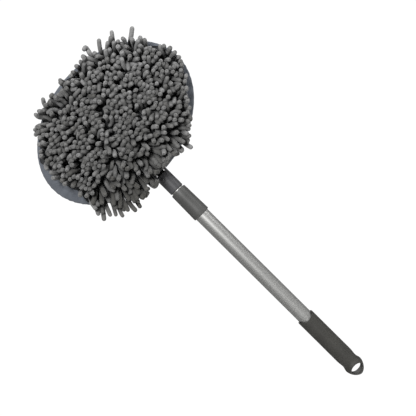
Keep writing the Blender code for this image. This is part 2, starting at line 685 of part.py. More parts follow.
def make_chenille_pile(centre):
    """Closed outer shape of the chenille fingers: it follows the panel and hangs out past it."""
    back_y = PANEL_FRONT_Y - FIT

    def width(angle):
        return COVER_WIDTH / 2 + pile_overhang(angle)

    def height(angle):
        return COVER_HEIGHT / 2 + pile_overhang(angle)

    def pulled_in(size, amount):
        return lambda angle: size(angle) - amount

    round_off = PILE_EDGE_DEPTH / 3
    rings = dome_rings(back_y)
    rings.append((pulled_in(width, round_off), pulled_in(height, round_off), dome(back_y)))
    rings.append((width, height, back_y - round_off))
    rings.append((width, height, back_y - 2 * round_off))
    rings.append((pulled_in(width, round_off), pulled_in(height, round_off), back_y - PILE_EDGE_DEPTH))
    rings += [(w, h, dome(back_y - PILE_LENGTH)) for w, h, _ in dome_rings(0)[::-1]]
    piece("chenille_pile", joined_rings(rings), CHENILLE_MATERIAL, centre)


def make_side_band(centre, hinge):
    """Fabric strip round the edge, crowned outwards and turned in behind the plate."""
    half_w, half_h = COVER_WIDTH / 2, COVER_HEIGHT / 2
    front_y = PANEL_BACK_Y + FIT
    middle_y = (front_y + BACK_PANEL_Y) / 2
    outside = [
        (-BAND_BULGE, front_y), (0, middle_y), (-BAND_BULGE, BACK_PANEL_Y - BAND_THICKNESS),
        (-2 * BAND_BULGE, BACK_PANEL_OUT_Y), (-BAND_RETURN, BACK_PANEL_OUT_Y),
    ]
    inside = [
        (-BAND_RETURN, BACK_PANEL_Y), (-2 * BAND_BULGE - BAND_THICKNESS, BACK_PANEL_Y),
        (-BAND_THICKNESS, middle_y), (-BAND_BULGE - BAND_THICKNESS, front_y),
    ]
    rings = [(half_w + out, half_h + out, y) for out, y in outside + inside]
    band = piece("side_band", joined_rings(rings, closed=True), BAND_MATERIAL, centre)
    boolean(band, notch_cutter("band_notch_cutter", hinge, NOTCH_ABOVE_PIVOT))


def make_back_panel(centre, hinge):
    outer = BAND_RETURN + FIT
    inner = HEM_D / 2 + FIT
    half_w, half_h = COVER_WIDTH / 2 - outer, COVER_HEIGHT / 2 - outer
    open_w, open_h = OPENING_WIDTH / 2 + inner, OPENING_HEIGHT / 2 + inner
    rings = [
        (half_w, half_h, BACK_PANEL_Y), (half_w, half_h, BACK_PANEL_OUT_Y),
        (open_w, open_h, BACK_PANEL_OUT_Y), (open_w, open_h, BACK_PANEL_Y),
    ]
    panel = piece("back_panel", joined_rings(rings, closed=True), BAND_MATERIAL, centre)
    boolean(panel, notch_cutter("back_notch_cutter", hinge, NOTCH_ABOVE_PIVOT))


def make_elastic_hem(centre):
    radius = HEM_D / 2
    rings = [
        (OPENING_WIDTH / 2 + u, OPENING_HEIGHT / 2 + u, BACK_PANEL_Y + radius + v)
        for u, v in arc((0, 0), radius, 0, 300, 5)
    ]
    piece("elastic_hem", joined_rings(rings, closed=True), HEM_MATERIAL, centre)


# ---- Assembly ----

clear_scene()

CUTTER_MATERIAL = material("cutter", (1.0, 0.2, 0.2), 0.5)
GRIP_MATERIAL = material("grip_polypropylene", (0.050, 0.048, 0.044), 0.75)
COLLAR_MATERIAL = material("collar_polypropylene", (0.110, 0.110, 0.108), 0.50)
NECK_MATERIAL = material("neck_polypropylene", (0.100, 0.100, 0.102), 0.45)
TUBE_MATERIAL = material("anodised_aluminium", (0.62, 0.62, 0.62), 0.35, 1.0)
RING_MATERIAL = material("lock_ring_acetal", (0.75, 0.75, 0.72), 0.40)
PLUG_MATERIAL = material("plug_polypropylene", (0.08, 0.08, 0.08), 0.50)
STEEL_MATERIAL = material("zinc_plated_steel", (0.60, 0.60, 0.58), 0.35, 1.0)
BUTTON_MATERIAL = material("button_polypropylene", (0.060, 0.060, 0.062), 0.45)
WASHER_MATERIAL = material("washer_nylon", (0.70, 0.69, 0.64), 0.50)
PLATE_MATERIAL = material("plate_polypropylene", (0.085, 0.085, 0.088), 0.50)
FOAM_MATERIAL = material("foam", (0.45, 0.45, 0.46), 0.95)
BACKING_MATERIAL = material("knit_backing", (0.070, 0.070, 0.074), 0.95)
CHENILLE_MATERIAL = material("grey_chenille", (0.140, 0.138, 0.136), 0.95)
BAND_MATERIAL = material("band_fabric", (0.120, 0.130, 0.150), 0.90)
HEM_MATERIAL = material("elastic", (0.050, 0.052, 0.058), 0.85)

handle_axis = empty("handle_axis")
make_hand_grip(handle_axis)
outer_tube = tube(OUTER_R, TUBE_SEAT_Z, OUTER_TUBE_TOP_Z)
piece("outer_tube", outer_tube, TUBE_MATERIAL, handle_axis)
make_collar(handle_axis)

lock_axis = empty("lock_axis", parent=handle_axis)
make_cam_ring(lock_axis)

pole_axis = empty("pole_axis", parent=lock_axis)
button_hole = make_button_hole(pole_axis)
make_inner_tube(pole_axis, button_hole)
make_cam_plug(pole_axis)
make_cam_cap(pole_axis)
make_neck_clevis(pole_axis, button_hole)
make_pivot_hardware(pole_axis)
make_friction_washers(pole_axis)
make_button_spring(pole_axis)
make_release_button(pole_axis)

head_hinge = empty("head_hinge", (0, 0, PIVOT_Z), pole_axis)
make_head_plate(head_hinge)

cover_place = (COVER_SHIFT, 0, HEAD_ABOVE_PIVOT)
cover_centre = empty("cover_centre", cover_place, head_hinge, (0, -radians(COVER_TURN), 0))
make_foam_pad(cover_centre, head_hinge)
make_chenille_backing(cover_centre, head_hinge)
make_chenille_pile(cover_centre)
make_side_band(cover_centre, head_hinge)
make_back_panel(cover_centre, head_hinge)
make_elastic_hem(cover_centre)
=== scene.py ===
from math import cos, pi, radians, sin, sqrt, tau

import bpy
import numpy as np
from mathutils import Matrix, Vector
from mathutils.kdtree import KDTree


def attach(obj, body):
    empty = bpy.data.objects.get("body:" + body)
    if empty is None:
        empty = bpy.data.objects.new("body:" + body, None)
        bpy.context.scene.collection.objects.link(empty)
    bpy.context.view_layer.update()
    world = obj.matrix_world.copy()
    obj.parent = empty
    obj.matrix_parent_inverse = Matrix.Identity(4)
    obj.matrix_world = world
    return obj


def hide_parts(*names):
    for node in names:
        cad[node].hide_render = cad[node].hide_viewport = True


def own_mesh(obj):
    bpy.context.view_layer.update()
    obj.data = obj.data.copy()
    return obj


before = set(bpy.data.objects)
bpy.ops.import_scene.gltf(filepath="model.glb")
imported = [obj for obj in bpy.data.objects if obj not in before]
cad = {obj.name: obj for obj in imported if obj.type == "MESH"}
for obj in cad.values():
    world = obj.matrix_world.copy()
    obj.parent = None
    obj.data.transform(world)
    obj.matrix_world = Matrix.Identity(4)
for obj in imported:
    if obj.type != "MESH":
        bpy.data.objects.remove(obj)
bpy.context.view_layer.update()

# ---- Hand grip ----
# A hollow moulding of thermoplastic rubber pushed over the end of the pole. It swells into a
# round eye that an oval hanging hole goes straight through, and its mouth is cut in two shallow
# curves.

GRIP_R, GRIP_END, GRIP_TOP, GRIP_EDGE = 0.0131, -0.05665, 0.05665, 0.0009
WAIST_R, WAIST_Z, HOLD_Z = 0.0122, -0.03125, -0.02045
EYE_R, EYE_Z, EYE_ROUNDNESS = 0.0139, -0.03945, 1.7
GRIP_BORE, GRIP_SEAT = 0.0113, -0.02245
HOLE_WIDTH, HOLE_HEIGHT, HOLE_Z, HOLE_LIP = 0.0183, 0.0126, -0.04445, 0.0011
HOLE_CUT, HOLE_CUT_PAST, HOLE_FLARE = 0.025, 0.004, 0.3
SCALLOP_WIDTH, SCALLOP_DEPTH, SCALLOP_CUT = 0.0220, 0.0050, 0.02
ROUND_SIDES, HOLE_SIDES = 96, 72


def linear(hex_colour):
    """A linear RGBA colour from an sRGB hex value."""
    parts = [int(hex_colour[i:i + 2], 16) / 255 for i in (1, 3, 5)]
    return (*[p / 12.92 if p <= 0.04045 else ((p + 0.055) / 1.055) ** 2.4 for p in parts], 1.0)


def fit_out(tree, node, settings=None, links=None):
    """Sets a node's properties or socket values, and feeds its inputs from nodes or sockets."""
    for key, value in (settings or {}).items():
        if key == "tones":
            for stop, (position, colour) in zip(node.color_ramp.elements, value):
                stop.position, stop.color = position, linear(colour)
        elif isinstance(key, str) and key in node.bl_rna.properties:
            setattr(node, key, value)
        else:
            node.inputs[key].default_value = value
    for key, source in (links or {}).items():
        socket = source.outputs[0] if isinstance(source, bpy.types.Node) else source
        tree.links.new(socket, node.inputs[key])
    return node


def add(tree, kind, settings=None, links=None):
    """Adds a shader node with its settings and links."""
    return fit_out(tree, tree.nodes.new("ShaderNode" + kind), settings, links)


def new_material(name):
    """A new material: its node tree, its Principled shader and the object's coordinates."""
    made = bpy.data.materials.new(name)
    made.use_nodes = True
    tree = made.node_tree
    return made, tree, tree.nodes["Principled BSDF"], add(tree, "TexCoord").outputs["Object"]


def arc(centre, radius, start, end, steps):
    """Points on an arc in degrees, both ends included."""
    angles = [radians(start + (end - start) * i / steps) for i in range(steps + 1)]
    return [(centre[0] + radius * cos(a), centre[1] + radius * sin(a)) for a in angles]


def build(name, points, faces, surface, body, sharp=32.0):
    """A piece from its points and faces, smooth except over edges sharper than an angle."""
    mesh = bpy.data.meshes.new(name)
    mesh.from_pydata([tuple(p) for p in points], [], [tuple(f) for f in faces])
    mesh.validate()
    made = bpy.data.objects.new(name, mesh)
    bpy.context.scene.collection.objects.link(made)
    mesh.materials.append(surface)
    mesh.shade_smooth()
    mesh.set_sharp_from_angle(angle=radians(sharp))
    if body:
        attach(made, body)
    return made


def turned(outline, closed):
    """Points and faces of an (r, z) outline turned about the pole's axis."""
    points, rings, faces = [], [], []
    for r, z in outline:
        if r < 1e-7:
            rings.append([len(points)])
            points.append((0, 0, z))
            continue
        rings.append(list(range(len(points), len(points) + ROUND_SIDES)))
        for i in range(ROUND_SIDES):
            points.append((r * cos(tau * i / ROUND_SIDES), r * sin(tau * i / ROUND_SIDES), z))
    pairs = list(zip(rings, rings[1:])) + ([(rings[-1], rings[0])] if closed else [])
    for one, two in pairs:
        for i in range(ROUND_SIDES):
            j = (i + 1) % ROUND_SIDES
            loop = [one[i % len(one)], one[j % len(one)], two[j % len(two)], two[i % len(two)]]
            faces.append([v for k, v in enumerate(loop) if v not in loop[:k]])
    return points, faces


def stacked(loops):
    """Points and faces of a closed skin over loops of equal length, from front to back."""
    count = len(loops[0])
    points = [p for loop in loops for p in loop]
    faces = []
    for k in range(len(loops) - 1):
        one, two = k * count, (k + 1) * count
        for i in range(count):
            j = (i + 1) % count
            faces.append((one + i, two + i, two + j, one + j))
    faces += [list(range(count)), list(range(len(points) - count, len(points)))[::-1]]
    return points, faces


def cut_out(target, name, loops):
    """Takes the closed skin over some loops away from a piece."""
    cutter = build(name, *stacked(loops), target.data.materials[0], None)
    modifier = target.modifiers.new("cut", "BOOLEAN")
    modifier.operation, modifier.solver, modifier.object = "DIFFERENCE", "EXACT", cutter
    bpy.context.view_layer.update()
    depsgraph = bpy.context.evaluated_depsgraph_get()
    cut = target.evaluated_get(depsgraph)
    mesh = bpy.data.meshes.new_from_object(cut, depsgraph=depsgraph)
    target.modifiers.clear()
    target.data = mesh
    bpy.data.objects.remove(cutter)


# The mould was spark eroded: pits 0.8 mm apart leave a matt, slightly pebbled skin. Dust and
# oil from hands lie on it in warm clouds, three in 50 mm.
grip_rubber, tree, shader, place = new_material("spark_eroded_thermoplastic_rubber")
pebble = add(tree, "TexNoise", {"Scale": 1 / 0.0008, "Detail": 3.0, "Roughness": 0.6}, {"Vector": place})
cloud = add(tree, "TexNoise", {"Scale": 3 / 0.050, "Detail": 4.0}, {"Vector": place})
tone = add(tree, "ValToRGB", {"tones": ((0.35, "#31302d"), (0.75, "#3b3a36"))}, {"Fac": cloud})
rough = add(tree, "MapRange", {"To Min": 0.50, "To Max": 0.72}, {"Value": cloud})
dent = add(tree, "Bump", {"Strength": 0.55, "Distance": 0.0003}, {"Height": pebble})
fit_out(tree, shader, {"IOR": 1.5}, {"Base Color": tone, "Roughness": rough, "Normal": dent})

outline = [(0, GRIP_END)]
for i in range(1, 19):
    a = i * pi / 36
    outline.append((
        EYE_R * sin(a) ** (2 / EYE_ROUNDNESS),
        EYE_Z - (EYE_Z - GRIP_END) * cos(a) ** (2 / EYE_ROUNDNESS),
    ))
eye, waist, hold = (EYE_R, EYE_Z), (WAIST_R, WAIST_Z), (GRIP_R, HOLD_Z)
for (r0, z0), (r1, z1) in ((eye, waist), (waist, hold)):
    for i in range(1, 9):
        blend = (1 - cos(pi * i / 8)) / 2
        outline.append((r0 + (r1 - r0) * blend, z0 + (z1 - z0) * i / 8))
outline += [(GRIP_R, HOLD_Z + (GRIP_TOP - HOLD_Z - GRIP_EDGE) * i / 6) for i in range(1, 6)]
outline += arc((GRIP_R - GRIP_EDGE, GRIP_TOP - GRIP_EDGE), GRIP_EDGE, 0, 90, 5)
widths, heights = zip(*outline)
outline += [(GRIP_BORE, GRIP_TOP), (GRIP_BORE, GRIP_SEAT), (0, GRIP_SEAT)]
grip = build("grip_moulding", *turned(outline, False), grip_rubber, "handle")

loops = []
for side in (-1, 1):
    lip = [(90, HOLE_CUT_PAST)] + [(a, 0.0) for a in (90, 66, 44, 24, 8, 0)]
    for angle, past in lip[::-side]:
        spread = HOLE_LIP * (1 - cos(radians(angle))) + past * HOLE_FLARE
        loop = []
        for i in range(HOLE_SIDES):
            t = tau * i / HOLE_SIDES
            x = (HOLE_WIDTH / 2 + spread) * cos(t)
            z = HOLE_Z + (HOLE_HEIGHT / 2 + spread) * sin(t)
            skin = sqrt(max(np.interp(z, heights, widths) ** 2 - x ** 2, 1e-6))
            loop.append((x, side * (skin - HOLE_LIP * (1 - sin(radians(angle))) + past), z))
        loops.append(loop)
front, back = [[(x, y, z) for x, _, z in end] for end, y in ((loops[0], -HOLE_CUT), (loops[-1], HOLE_CUT))]
cut_out(grip, "hole_cutter", [front] + loops + [back])
turns = [tau * i / HOLE_SIDES for i in range(HOLE_SIDES)]
cut_out(grip, "scallop_cutter", [
    [(SCALLOP_WIDTH / 2 * cos(t), y, GRIP_TOP + SCALLOP_DEPTH * sin(t)) for t in turns]
    for y in (-SCALLOP_CUT, SCALLOP_CUT)
])
grip.data.shade_smooth()
grip.data.set_sharp_from_angle(angle=radians(38))
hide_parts("hand_grip")

# ---- Outer tube ----
# Seamless drawn aluminium, 22 mm across with a 0.8 mm wall, etched and clear anodised. The grip
# is pushed over its lower end, and the collar glued over its mouth.


def refinish(node, surface, sharp=32.0):
    """Gives a CAD piece its real surface and smooth shading."""
    mesh = cad[node].data
    mesh.materials.clear()
    mesh.materials.append(surface)
    mesh.shade_smooth()
    mesh.set_sharp_from_angle(angle=radians(sharp))


# The etch leaves a silvery satin skin that sparkles in grains 0.7 mm apart, coarser than the
# real ones so that they show. The die left faint lines 1.1 mm apart along the tube.
tube_metal, tree, shader, place = new_material("satin_anodised_aluminium")
sparkle = add(tree, "TexNoise", {"Scale": 3 / 0.002, "Detail": 2.0, "Roughness": 0.7}, {"Vector": place})
lengthwise = add(tree, "Mapping", {"Scale": (9 / 0.010, 9 / 0.010, 7.0)}, {"Vector": place})
drawn = add(tree, "TexNoise", {"Scale": 1.0, "Detail": 3.0}, {"Vector": lengthwise})
tone = add(tree, "ValToRGB", {"tones": ((0.30, "#c3c3c1"), (0.72, "#cbcbc9"))}, {"Fac": sparkle})
rough = add(tree, "MapRange", {"To Min": 0.38, "To Max": 0.46}, {"Value": drawn})
dent = add(tree, "Bump", {"Strength": 0.012, "Distance": 0.00004}, {"Height": sparkle})
fit_out(tree, shader, {"Metallic": 1.0}, {"Base Color": tone, "Roughness": rough, "Normal": dent})

refinish("outer_tube", tube_metal)

# ---- Collar ----
# A tapered ferrule of polypropylene with rounded ends, glued over the mouth of the outer tube
# and bored to guide the inner one.

COLLAR_BOTTOM, COLLAR_TOP, COLLAR_STEP = 0.26115, 0.30865, 0.30365
BOTTOM_R, TOP_R = 0.0131, 0.01225
COLLAR_BORE, GUIDE_BORE = 0.0113, 0.0098
BORE_EDGE, BOTTOM_EDGE, TOP_EDGE = 0.0004, 0.0012, 0.0016

# The mould was fine blasted, which gives a soft low sheen with a grain of 0.6 mm. Handling
# leaves clouds of gloss, nine in 200 mm.
collar_plastic, tree, shader, place = new_material("blasted_polypropylene")
blast = add(tree, "TexNoise", {"Scale": 8 / 0.005, "Detail": 2.0}, {"Vector": place})
cloud = add(tree, "TexNoise", {"Scale": 9 / 0.200, "Detail": 5.0}, {"Vector": place})
tone = add(tree, "ValToRGB", {"tones": ((0.3, "#444443"), (0.7, "#4c4c4b"))}, {"Fac": cloud})
rough = add(tree, "MapRange", {"To Min": 0.36, "To Max": 0.50}, {"Value": cloud})
dent = add(tree, "Bump", {"Strength": 0.22, "Distance": 0.00015}, {"Height": blast})
fit_out(tree, shader, {"IOR": 1.49}, {"Base Color": tone, "Roughness": rough, "Normal": dent})

outline = [(COLLAR_BORE, COLLAR_BOTTOM + BORE_EDGE)]
outline += arc((COLLAR_BORE + BORE_EDGE, COLLAR_BOTTOM + BORE_EDGE), BORE_EDGE, 180, 270, 3)[1:]
outline += arc((BOTTOM_R - BOTTOM_EDGE, COLLAR_BOTTOM + BOTTOM_EDGE), BOTTOM_EDGE, -90, 0, 6)
outline += [
    (BOTTOM_R + (TOP_R - BOTTOM_R) * t, COLLAR_BOTTOM + (COLLAR_TOP - COLLAR_BOTTOM) * t)
    for t in (0.2, 0.4, 0.6, 0.8)
]
outline += arc((TOP_R - TOP_EDGE, COLLAR_TOP - TOP_EDGE), TOP_EDGE, 0, 90, 7)
outline += [(GUIDE_BORE, COLLAR_TOP), (GUIDE_BORE, COLLAR_STEP), (COLLAR_BORE, COLLAR_STEP)]
collar = build("collar_moulding", *turned(outline, True), collar_plastic, "handle")
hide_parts("collar")

# ---- Twist lock ----
# Inside the pole: a split ring of natural acetal on an eccentric polypropylene journal, kept by
# a cap and a zinc plated screw. Turning the pole wedges the ring in the outer tube.

# Natural acetal is milky: light goes a little way in. Flow marks lie 2.5 mm apart.
acetal, tree, shader, place = new_material("natural_acetal")
cloud = add(tree, "TexNoise", {"Scale": 1 / 0.0025, "Detail": 3.0}, {"Vector": place})
tone = add(tree, "ValToRGB", {"tones": ((0.0, "#dcdad0"), (1.0, "#eceae2"))}, {"Fac": cloud})
fit_out(tree, shader, {
    "Roughness": 0.35, "Subsurface Weight": 0.15, "Subsurface Radius": (0.002, 0.002, 0.0015),
}, {"Base Color": tone})

# Bright zinc over rolled steel, with a faint spangle of 1.1 mm grains.
zinc, tree, shader, place = new_material("zinc_plated_steel")
spangle = add(tree, "TexVoronoi", {"Scale": 9 / 0.010}, {"Vector": place})
rough = add(tree, "MapRange", {"To Min": 0.22, "To Max": 0.42}, {"Value": spangle.outputs["Color"]})
tone = add(tree, "ValToRGB", {"tones": ((0.0, "#c9cbcc"), (1.0, "#a9abad"))}, {"Fac": spangle})
fit_out(tree, shader, {"Metallic": 1.0}, {"Base Color": tone, "Roughness": rough})

refinish("cam_ring", acetal)
refinish("cam_plug", collar_plastic)
refinish("cam_cap", collar_plastic)
refinish("cap_screw", zinc)

# ---- Inner tube ----
# The same drawn and anodised aluminium, 19 mm across. It slides in the outer tube, and a
# narrow bright band of it shows between collar and neck.

refinish("inner_tube", tube_metal)

# ---- Neck, pivot and release button ----
# A polypropylene socket with two ears that hold the head's knuckle between nylon washers on a
# zinc plated bolt. A black acetal button on a spring steel leaf snaps through its wall, and a
# rubber pad closes the floor of the slot.

SLOT_FLOOR, PAD_HALF_WIDTH, PAD_HALF_DEPTH = 0.34015, 0.0072, 0.003
PAD_BEVEL, PAD_BEVEL_WIDTH = 0.0003, 0.0004
PIVOT_Z, KNUCKLE_CLEAR = 0.34995, 0.00835

# Polished steel in the mould gives a clearer shine than the collar's, broken up by ripples
# 2.9 mm apart where the wall shrank.
neck_plastic, tree, shader, place = new_material("polished_polypropylene")
ripple = add(tree, "TexNoise", {"Scale": 7 / 0.020, "Detail": 2.0}, {"Vector": place})
cloud = add(tree, "TexNoise", {"Scale": 7 / 0.100, "Detail": 4.0}, {"Vector": place})
tone = add(tree, "ValToRGB", {"tones": ((0.3, "#404042"), (0.7, "#48484a"))}, {"Fac": cloud})
rough = add(tree, "MapRange", {"To Min": 0.34, "To Max": 0.44}, {"Value": cloud})
dent = add(tree, "Bump", {"Strength": 0.10, "Distance": 0.0002}, {"Height": ripple})
fit_out(tree, shader, {"IOR": 1.49}, {"Base Color": tone, "Roughness": rough, "Normal": dent})

# Moulded black acetal looks waxy and a little darker than the neck, with 2 mm flow marks.
button_plastic, tree, shader, place = new_material("black_acetal")
cloud = add(tree, "TexNoise", {"Scale": 1 / 0.002, "Detail": 3.0}, {"Vector": place})
tone = add(tree, "ValToRGB", {"tones": ((0.0, "#2a2a2b"), (1.0, "#38383a"))}, {"Fac": cloud})
fit_out(tree, shader, {"Roughness": 0.35}, {"Base Color": tone})

# Undyed nylon, punched from sheet: cream and dull, with a grain of 1.7 mm.
nylon, tree, shader, place = new_material("natural_nylon")
cloud = add(tree, "TexNoise", {"Scale": 3 / 0.005, "Detail": 2.0}, {"Vector": place})
tone = add(tree, "ValToRGB", {"tones": ((0.0, "#d8d4c6"), (1.0, "#e6e3d8"))}, {"Fac": cloud})
fit_out(tree, shader, {"Roughness": 0.45}, {"Base Color": tone})

refinish("neck_clevis", neck_plastic)
refinish("pivot_bolt", zinc)
refinish("pivot_nut", zinc)
refinish("friction_washer_right", nylon)
refinish("friction_washer_left", nylon)
refinish("release_button", button_plastic)

# The leaf spring flattens against the back of the neck as the button is pressed
leaf = cad["button_spring"].data
leaf_points, leaf_faces = [v.co for v in leaf.vertices], [p.vertices for p in leaf.polygons]
spring = build("button_leaf_spring", leaf_points, leaf_faces, zinc, "pole")
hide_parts("button_spring")
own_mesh(spring)

# The pad is hollowed to the knuckle and keeps dust out of the hinge
pad_top = [
    (y, PIVOT_Z - sqrt(KNUCKLE_CLEAR ** 2 - y ** 2))
    for y in np.linspace(-PAD_HALF_DEPTH, PAD_HALF_DEPTH, 13)
]
loops = []
for x, bevel in (
    (-PAD_HALF_WIDTH, PAD_BEVEL), (PAD_BEVEL_WIDTH - PAD_HALF_WIDTH, 0),
    (PAD_HALF_WIDTH - PAD_BEVEL_WIDTH, 0), (PAD_HALF_WIDTH, PAD_BEVEL),
):
    loop = [(x, y * (1 - bevel / PAD_HALF_DEPTH), z - bevel) for y, z in pad_top]
    loop += [(x, PAD_HALF_DEPTH - bevel, SLOT_FLOOR), (x, bevel - PAD_HALF_DEPTH, SLOT_FLOOR)]
    loops.append(loop)
slot_pad = build("hinge_dust_pad", *stacked(loops), grip_rubber, "pole", sharp=50.0)

# ---- Head plate ----
# An oval polypropylene plate with a rim and ribs behind, and the knuckle's tongue. Only the
# back shows, through the cover's opening.

refinish("head_plate", neck_plastic)

# ---- Foam pad ----
# Polyether foam cut to the plate's shape. It gives the cover its crown, and is notched where
# the neck folds.

COVER_X, COVER_Z, COVER_TURN = 0.0060, 0.43605, radians(4.0)
COVER_HALF_WIDTH, COVER_HALF_HEIGHT = 0.1270, 0.0925
PANEL_HALF_WIDTH, PANEL_HALF_HEIGHT = 0.1260, 0.0915
PANEL_BACK, PANEL_FRONT, DOME_RISE, DOME_POWER = -0.0117, -0.0132, 0.0145, 2.6
FOAM_INSET, FOAM_EDGE, FOAM_BACK = 0.0023, -0.0114, -0.0033
FOAM_NOTCH, NOTCH_TOP, NOTCH_START, NOTCH_DEPTHS = 0.0125, PIVOT_Z + 0.0130, 0.30, (-0.06, 0.03)
COVER_UP, COVER_ACROSS = sin(COVER_TURN), cos(COVER_TURN)


def on_cover(u, v, y):
    """A place on the cover in the object's frame: u along its long axis, v across it."""
    x, z = u * COVER_ACROSS - v * COVER_UP, u * COVER_UP + v * COVER_ACROSS
    return np.stack([COVER_X + x, y + 0 * u, COVER_Z + z], axis=-1)


def share_out(u, v):
    """0 at the middle of the panel and 1 at its edge."""
    return np.sqrt((u / PANEL_HALF_WIDTH) ** 2 + (v / PANEL_HALF_HEIGHT) ** 2)


def crowned(edge_y):
    """The depth of a face that swells forward from edge_y, as the foam's crown makes it."""
    def depth(u, v):
        return edge_y - DOME_RISE * (1 - np.minimum(share_out(u, v), 1) ** DOME_POWER)
    return depth


def oval_loops(rings, count=144):
    """Loops round the cover: each ring is (half width, half height, depth or its function)."""
    t = np.arange(count) * tau / count
    loops = []
    for half_u, half_v, depth in rings:
        u, v = half_u * np.cos(t), half_v * np.sin(t)
        loops.append(on_cover(u, v, depth(u, v) if callable(depth) else depth))
    return loops


def cut_notch(target, half_width, top):
    """Cuts away what lies beside the neck, up to a height."""
    corners = ((-half_width, NOTCH_START), (half_width, NOTCH_START), (half_width, top), (-half_width, top))
    cut_out(target, "notch_cutter", [[(x, y, z) for x, z in corners] for y in NOTCH_DEPTHS])


# Slabstock foam shows its open cells, 1.1 mm across: the walls light, and painted shade inside each cell.
foam_cells, tree, shader, place = new_material("open_cell_polyether_foam")
cells = add(tree, "TexVoronoi", {"Scale": 9 / 0.010, "feature": "DISTANCE_TO_EDGE"}, {"Vector": place})
tone = add(tree, "ValToRGB", {"tones": ((0.0, "#9a9a98"), (1.0, "#6e6e6d"))}, {"Fac": cells})
dent = add(tree, "Bump", {"Strength": 0.8, "Distance": 0.0006}, {"Height": cells})
fit_out(tree, shader, {"Roughness": 0.95}, {"Base Color": tone, "Normal": dent})

foam_front = crowned(FOAM_EDGE)
rings = [(PANEL_HALF_WIDTH * s, PANEL_HALF_HEIGHT * s, foam_front) for s in np.linspace(0.04, 0.96, 24)]
for y in (FOAM_EDGE, (FOAM_EDGE + FOAM_BACK) / 2, FOAM_BACK):
    rings.append((COVER_HALF_WIDTH - FOAM_INSET, COVER_HALF_HEIGHT - FOAM_INSET, y))
foam = build("foam_block", *stacked(oval_loops(rings)), foam_cells, "head")
cut_notch(foam, FOAM_NOTCH, NOTCH_TOP)
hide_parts("foam_pad")

# ---- Chenille backing ----
# A warp knit polyester ground cloth, stretched over the foam's crown. The chenille fingers are
# sewn through it, and it shows dark between them.

CLOTH_NOTCH, GROUND_NOTCH_TOP = 0.0115, PIVOT_Z - 0.0028
WALE, COURSE, ROW_STRETCH = 0.0009, 0.0012, 6.3

# Rows of knitted loops, 0.9 by 1.2 mm. A wave repeats every 0.314 / scale, so these rows are
# drawn about twice as coarse as real ones, to show.
knit, tree, shader, place = new_material("warp_knit_polyester")
wales, courses = (
    add(tree, "TexWave", {"Scale": 1 / size / ROW_STRETCH, "bands_direction": way, "Distortion": 1.5},
        {"Vector": place}).outputs["Fac"]
    for size, way in ((WALE, "X"), (COURSE, "Z"))
)
knitted = add(tree, "Math", {"operation": "MULTIPLY"}, {0: wales, 1: courses})
tone = add(tree, "ValToRGB", {"tones": ((0.0, "#1f2021"), (1.0, "#343537"))}, {"Fac": knitted})
dent = add(tree, "Bump", {"Strength": 0.6, "Distance": 0.0004}, {"Height": knitted})
fit_out(tree, shader, {"Roughness": 0.95}, {"Base Color": tone, "Normal": dent})

panel_front, panel_back = crowned(PANEL_FRONT), crowned(PANEL_BACK)
spread = np.linspace(0.04, 1.0, 28)
rings = [(PANEL_HALF_WIDTH * s, PANEL_HALF_HEIGHT * s, panel_front) for s in spread]
rings += [(PANEL_HALF_WIDTH * s, PANEL_HALF_HEIGHT * s, panel_back) for s in spread[::-1]]
backing = build("knit_ground", *stacked(oval_loops(rings)), knit, "head")
cut_notch(backing, CLOTH_NOTCH, GROUND_NOTCH_TOP)
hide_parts("chenille_backing")

# ---- Chenille fingers ----
# Microfibre chenille cord, 6 mm thick, cut and sewn down at one end in rows, so that each
# finger is a soft velvety rod with a round tip. They crowd and push each other over, part
# in places, and lean out or hang down over the edge.

FINGER_LENGTH, FINGER_R, FINGER_PITCH = 0.0245, 0.00308, 0.00775
SEWN_UNEVENLY, SEWN_IN, MOST_SEWN_IN = 0.0006, 0.0050, 0.014
JOINTS = 6  # points along a finger while it is being settled
RINGS, SIDES = 17, 12  # of the finished cord
TIP_ANGLES = np.radians([28.0, 52.0, 72.0])  # round the tip, to the dimple where it was cut
# How far the fingertips hang out past the cover, by direction from +u towards +v, in metres.
REACH = {
    0: 0.001, 12: 0.001, 24: -0.005, 31: 0.003, 38: 0.017, 50: 0.024, 66: 0.020, 76: 0.001,
    83: -0.006, 92: 0.002, 100: -0.010, 110: 0.008, 120: 0.011, 130: 0.002, 142: -0.003,
    150: 0.003, 160: -0.010, 170: -0.013, 185: -0.014, 200: -0.014, 208: -0.002, 216: 0.013,
    226: 0.032, 236: 0.032, 244: 0.024, 252: 0.012, 260: 0.010, 264: 0.000, 277: 0.000,
    281: 0.009, 287: 0.011, 292: 0.011, 300: 0.006, 312: -0.004, 325: -0.008, 335: -0.006,
    345: -0.002, 352: 0.000,
}
FRINGE, BELOW_NECK, UPPER_EDGE = (232, 34), (285, 30), (50, 25)  # direction and width in degrees
# Partings where the fingers fall away to both sides, each from one place to another, and
# hollows, each a place and a radius.
PARTINGS = [
    ((0.0005, 0.0236), (-0.0093, 0.0)), ((-0.0093, 0.0), (-0.0152, -0.0195)),
    ((-0.0580, 0.0666), (0.0005, 0.0647)), ((0.0298, -0.0097), (0.0298, -0.0200)),
]
PARTING_WIDTH = 0.0075
HOLLOWS = [((-0.0387, -0.0332), 0.0110), ((0.018, 0.074), 0.008), ((0.0610, 0.0300), 0.007)]

rng = np.random.default_rng(20)


def reach_out(direction):
    """How far the tips hang out in a direction given in radians."""
    stops = sorted(REACH)
    angles = np.array(stops + [stops[0] + 360])
    values = np.array([REACH[s] for s in stops] + [REACH[stops[0]]])
    return np.interp(np.degrees(direction) % 360, angles, values)


def edge_in(direction):
    """How far inside the cover's edge the outermost fingers are sewn."""
    return SEWN_IN + np.clip(-reach_out(direction), 0, MOST_SEWN_IN)


def towards(direction, sector):
    """1 in the middle of a sector of directions, dying away over its width."""
    middle, width = sector
    return np.exp(-((np.degrees(direction) % 360 - middle) / width) ** 2)


